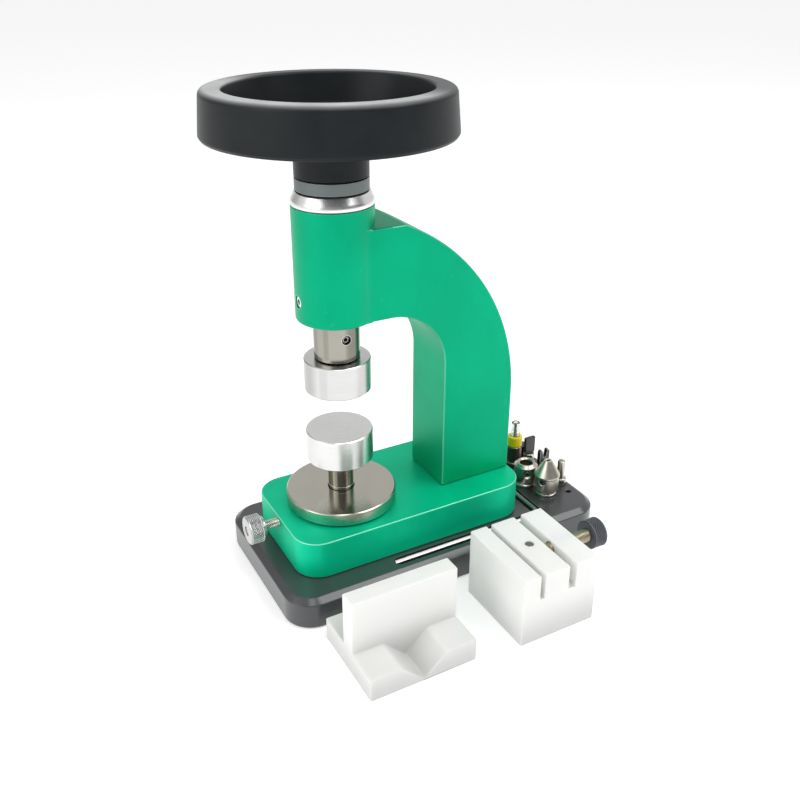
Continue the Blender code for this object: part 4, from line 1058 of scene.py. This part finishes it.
def make_sleeve_tool():
    """Bronze body with a groove and a thin pin, a yellow ring on its neck, and a clear tube."""
    low, high, middle = span("sleeve_body")
    centre = foot("sleeve_body")
    shoulder = span("sleeve_ring")[0][2] - 0.0003
    stem = span("sleeve_tip")[0][2] - 0.0007
    corners = [(0, high[2]), (0.0007, high[2], 0.0002), (0.0007, stem), (0.0022, stem, 0.0002),
               (0.0022, shoulder), (0.0038, shoulder, 0.0003), (0.0038, BASE_TOP + 0.0040),
               (0.0035, BASE_TOP + 0.0037), (0.0035, BASE_TOP + 0.0030), (0.0038, BASE_TOP + 0.0027),
               (0.0038, low[2]), (0, low[2])]
    bronze = turned("sleeve_bronze", rgb(0.20, 0.17, 0.14), 0.34, middle)
    done(lathe("sleeve_tool_body", soften(corners, 3), centre, sides=64), bronze,
         "sleeve_tool", "grey_steel", "sleeve_body")
    low, high, _ = span("sleeve_ring")
    ring = rod(0.0038, low[2], high[2], 0.0003, 0.0006, 4, 0.0025)
    done(lathe("sleeve_tool_ring", ring, centre, sides=64), YELLOW,
         "sleeve_tool", "yellow_plastic", "sleeve_ring")
    low, high, _ = span("sleeve_tip")
    corners = [(0.0010, high[2], 0.0002), (0.0022, high[2], 0.0005), (0.0023, low[2]), (0.0010, low[2])]
    done(lathe("sleeve_tool_tip", soften(corners, 4), centre, sides=48), CLEAR,
         "sleeve_tool", "clear_plastic", "sleeve_tip")


# ---- nylon blocks

def make_slotted_block():
    """Block with two milled slots: its (y, z) outline is carried along X and its edges are eased."""
    low, high, _ = span("slotted_block")
    floor = high[2] - 0.0120
    a0, a1 = RAM[1] + 0.0454, RAM[1] + 0.0477
    b0, b1 = RAM[1] + 0.0599, RAM[1] + 0.0635
    top, lip = high[2], 0.0007
    corners = [(low[1], low[2], 0.0006), (high[1], low[2], 0.0006), (high[1], top, lip), (b1, top, lip),
               (b1, floor, 0.0004), (b0, floor, 0.0004), (b0, top, lip), (a1, top, lip),
               (a1, floor, 0.0004), (a0, floor, 0.0004), (a0, top, lip), (low[1], top, lip)]
    body = block("slotted_nylon_block", soften(corners, 4), low[0], high[0], "X")
    ease(body, 0.0010, 4, 60)
    dowel = foot("dowel_pin")
    screw = level_axis("clamp_screw")
    cutters = [hole(dowel, 0.0020, high[2] - 0.010, high[2] + 0.001),
               hole(screw, 0.0032, b1 - 0.0012, high[1] + 0.001, "Y")]
    done(combine(body, cutters), NYLON, "slotted_block", "white_nylon", "slotted_block")
    low, high, middle = span("dowel_pin")
    corners = [(0, high[2]), (0.0018, high[2], 0.0003), (0.0018, low[2], 0.0003), (0, low[2])]
    done(lathe("dowel", soften(corners, 3), middle * (1, 1, 0), sides=48), steel_at("dowel_pin", shade=0.4),
         "slotted_block", "stainless", "dowel_pin")


def make_vee_block():
    """Vee block: a notched ledge carried along X, a rear strip, and an upright wall between."""
    low, high, _ = span("vee_block")
    ledge, centre = low[2] + 0.01075, RAM[1] - 0.0073
    back, front = 0.0654, 0.0737
    half, deep = 0.0102, 0.0099
    outline = [(low[1], low[2]), (high[1], low[2]), (high[1], ledge), (centre + half, ledge, 0.0035),
               (centre, ledge - deep, 0.0010), (centre - half, ledge, 0.0035), (low[1], ledge)]
    body = block("vee_nylon_block", soften(outline, 6), front - 0.004, high[0], "X")
    y0, y1 = low[1], high[1]
    strip = block("strip", [(low[0], y0), (back + 0.001, y0), (back + 0.001, y1), (low[0], y1)], low[2], ledge)
    wall = block("wall", [(back, y0), (front, y0), (front, y1), (back, y1)], low[2], high[2])
    combine(body, [strip, wall], "UNION")
    ease(body, 0.0007, 3, 40)
    done(body, NYLON, "vee_block", "white_nylon", "vee_block")


# ---- hidden pieces

def paint_hidden_pieces():
    """Finishes of the CAD nodes that keep their own mesh: the bearing, the spindle and the keys."""
    spindle = steel_at("spindle")
    looks = {"spindle": spindle, "thrust_race_upper": spindle, "thrust_race_lower": spindle,
             "ball_cage": turned("cage_brass", rgb(0.66, 0.52, 0.27), 0.26, RAM),
             "wheel_key": SCREW, "upper_die_stub": spindle}
    for node, material in looks.items():
        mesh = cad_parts[node].data
        mesh.materials.clear()
        mesh.materials.append(material)


# ---- table, light and camera

def make_table():
    """Pale table top, level with the underside of the pads."""
    level = cad_box[0][2] - 0.00002
    size = 6.0
    outline = [(-size, -size), (size, -size), (size, size), (-size, size)]
    table = block("table_top", outline, level - 0.01, level)
    paint = Paint("table_white", roughness=0.9, specular_ior_level=0.0, emission_strength=0.42)
    paint.shader.inputs["Emission Color"].default_value = rgb(1, 1, 1)
    paint.colour(rgb(0.86, 0.86, 0.86))
    table.data.materials.append(paint.material)


def soft_box(name, place, aimed_at, size, power):
    """Square lamp that faces the point at a height on the frame's z axis."""
    light = bpy.data.lights.new(name, "AREA")
    light.shape = "RECTANGLE"
    light.size = light.size_y = size
    light.energy = power
    box = bpy.data.objects.new(name, light)
    box.location = place
    box.rotation_euler = (Vector((0, 0, aimed_at)) - Vector(place)).to_track_quat("-Z", "Y").to_euler()
    bpy.context.scene.collection.objects.link(box)


def dark_card(sky, direction, shade, azimuth, cosine, loss):
    """Dim the sky in an upright strip about an azimuth, in degrees from +X towards +Y."""
    inside = sky.towards(direction, azimuth).band(cosine, 1.0 - (1.0 - cosine) / 4)
    return sky.node("VectorMath", {"operation": "SCALE"}, {0: shade, "Scale": 1.0 - inside * loss})


def make_light():
    world = bpy.data.worlds.new("studio")
    bpy.context.scene.world = world
    world.use_nodes = True
    sky = Nodes(world.node_tree)
    direction = sky.node("TexCoord", {}, {}, "Generated")
    ramp = sky.tree.nodes.new("ShaderNodeValToRGB")
    ramp.color_ramp.interpolation = "EASE"
    stops = ramp.color_ramp.elements
    stops[0].position, stops[0].color = 0.30, rgb(1.0, 1.0, 1.0)
    stops[1].position, stops[1].color = 0.92, rgb(0.36, 0.36, 0.37)
    dim_side = Vector((0.95, -0.10, 0.22)).normalized()
    sky.plug(ramp.inputs["Fac"], sky.vector("DOT_PRODUCT", direction, dim_side, "Value"))
    shade = Wire(sky, ramp.outputs["Color"])
    for azimuth, cosine, loss in ((56, 0.95, 0.75), (-150, 0.93, 0.45), (2, 0.985, 0.30)):
        shade = dark_card(sky, direction, shade, azimuth, cosine, loss)
    background = sky.tree.nodes["Background"].inputs
    sky.plug(background["Color"], shade)
    background["Strength"].default_value = 0.76
    soft_box("top_light", (0.1, -0.1, 1.3), 0.1, 1.2, 0.5)
    soft_box("front_light", (0.56, -0.26, 1.05), 0.05, 0.35, 1.1)
    soft_box("left_light", (0.2, -1.1, 0.6), 0.05, 0.8, 4.2)
    soft_box("right_light", (0.6, 0.6, 1.1), 0.05, 0.8, 8.0)


def make_camera():
    camera = bpy.data.cameras.new("camera")
    camera.lens, camera.sensor_width = 40.74, 36.0
    camera.shift_x, camera.shift_y = 0.0040, -0.0377
    camera.clip_start = 0.01
    view = bpy.data.objects.new("camera", camera)
    view.location = (0.3213, -0.1861, 0.2642)
    target = Vector((-0.0019, -0.0093, 0.0888))
    view.rotation_euler = (target - view.location).to_track_quat("-Z", "Y").to_euler()
    bpy.context.scene.collection.objects.link(view)
    bpy.context.scene.camera = view
    bpy.context.scene.view_settings.view_transform = "Standard"


make_base()
make_bolts()
make_pads()
make_bed()
make_arm()
make_cap()
make_collar()
make_handwheel()
make_wheel_nut()
make_ram()
make_grubs()
die("upper_die_disc", "upper_die", 0.0059, 0.0080, True, "ram", 0.74)
die("lower_die_disc", "lower_die", 0.00605, 0.0080, False, "lower_die", 0.88)
make_post()
make_anvil()
make_bed_clamp()
make_block_clamp()
make_hex_key()
make_holders()
make_inserts()
make_sleeve_tool()
make_slotted_block()
make_vee_block()
paint_hidden_pieces()
make_table()
make_light()
make_camera()
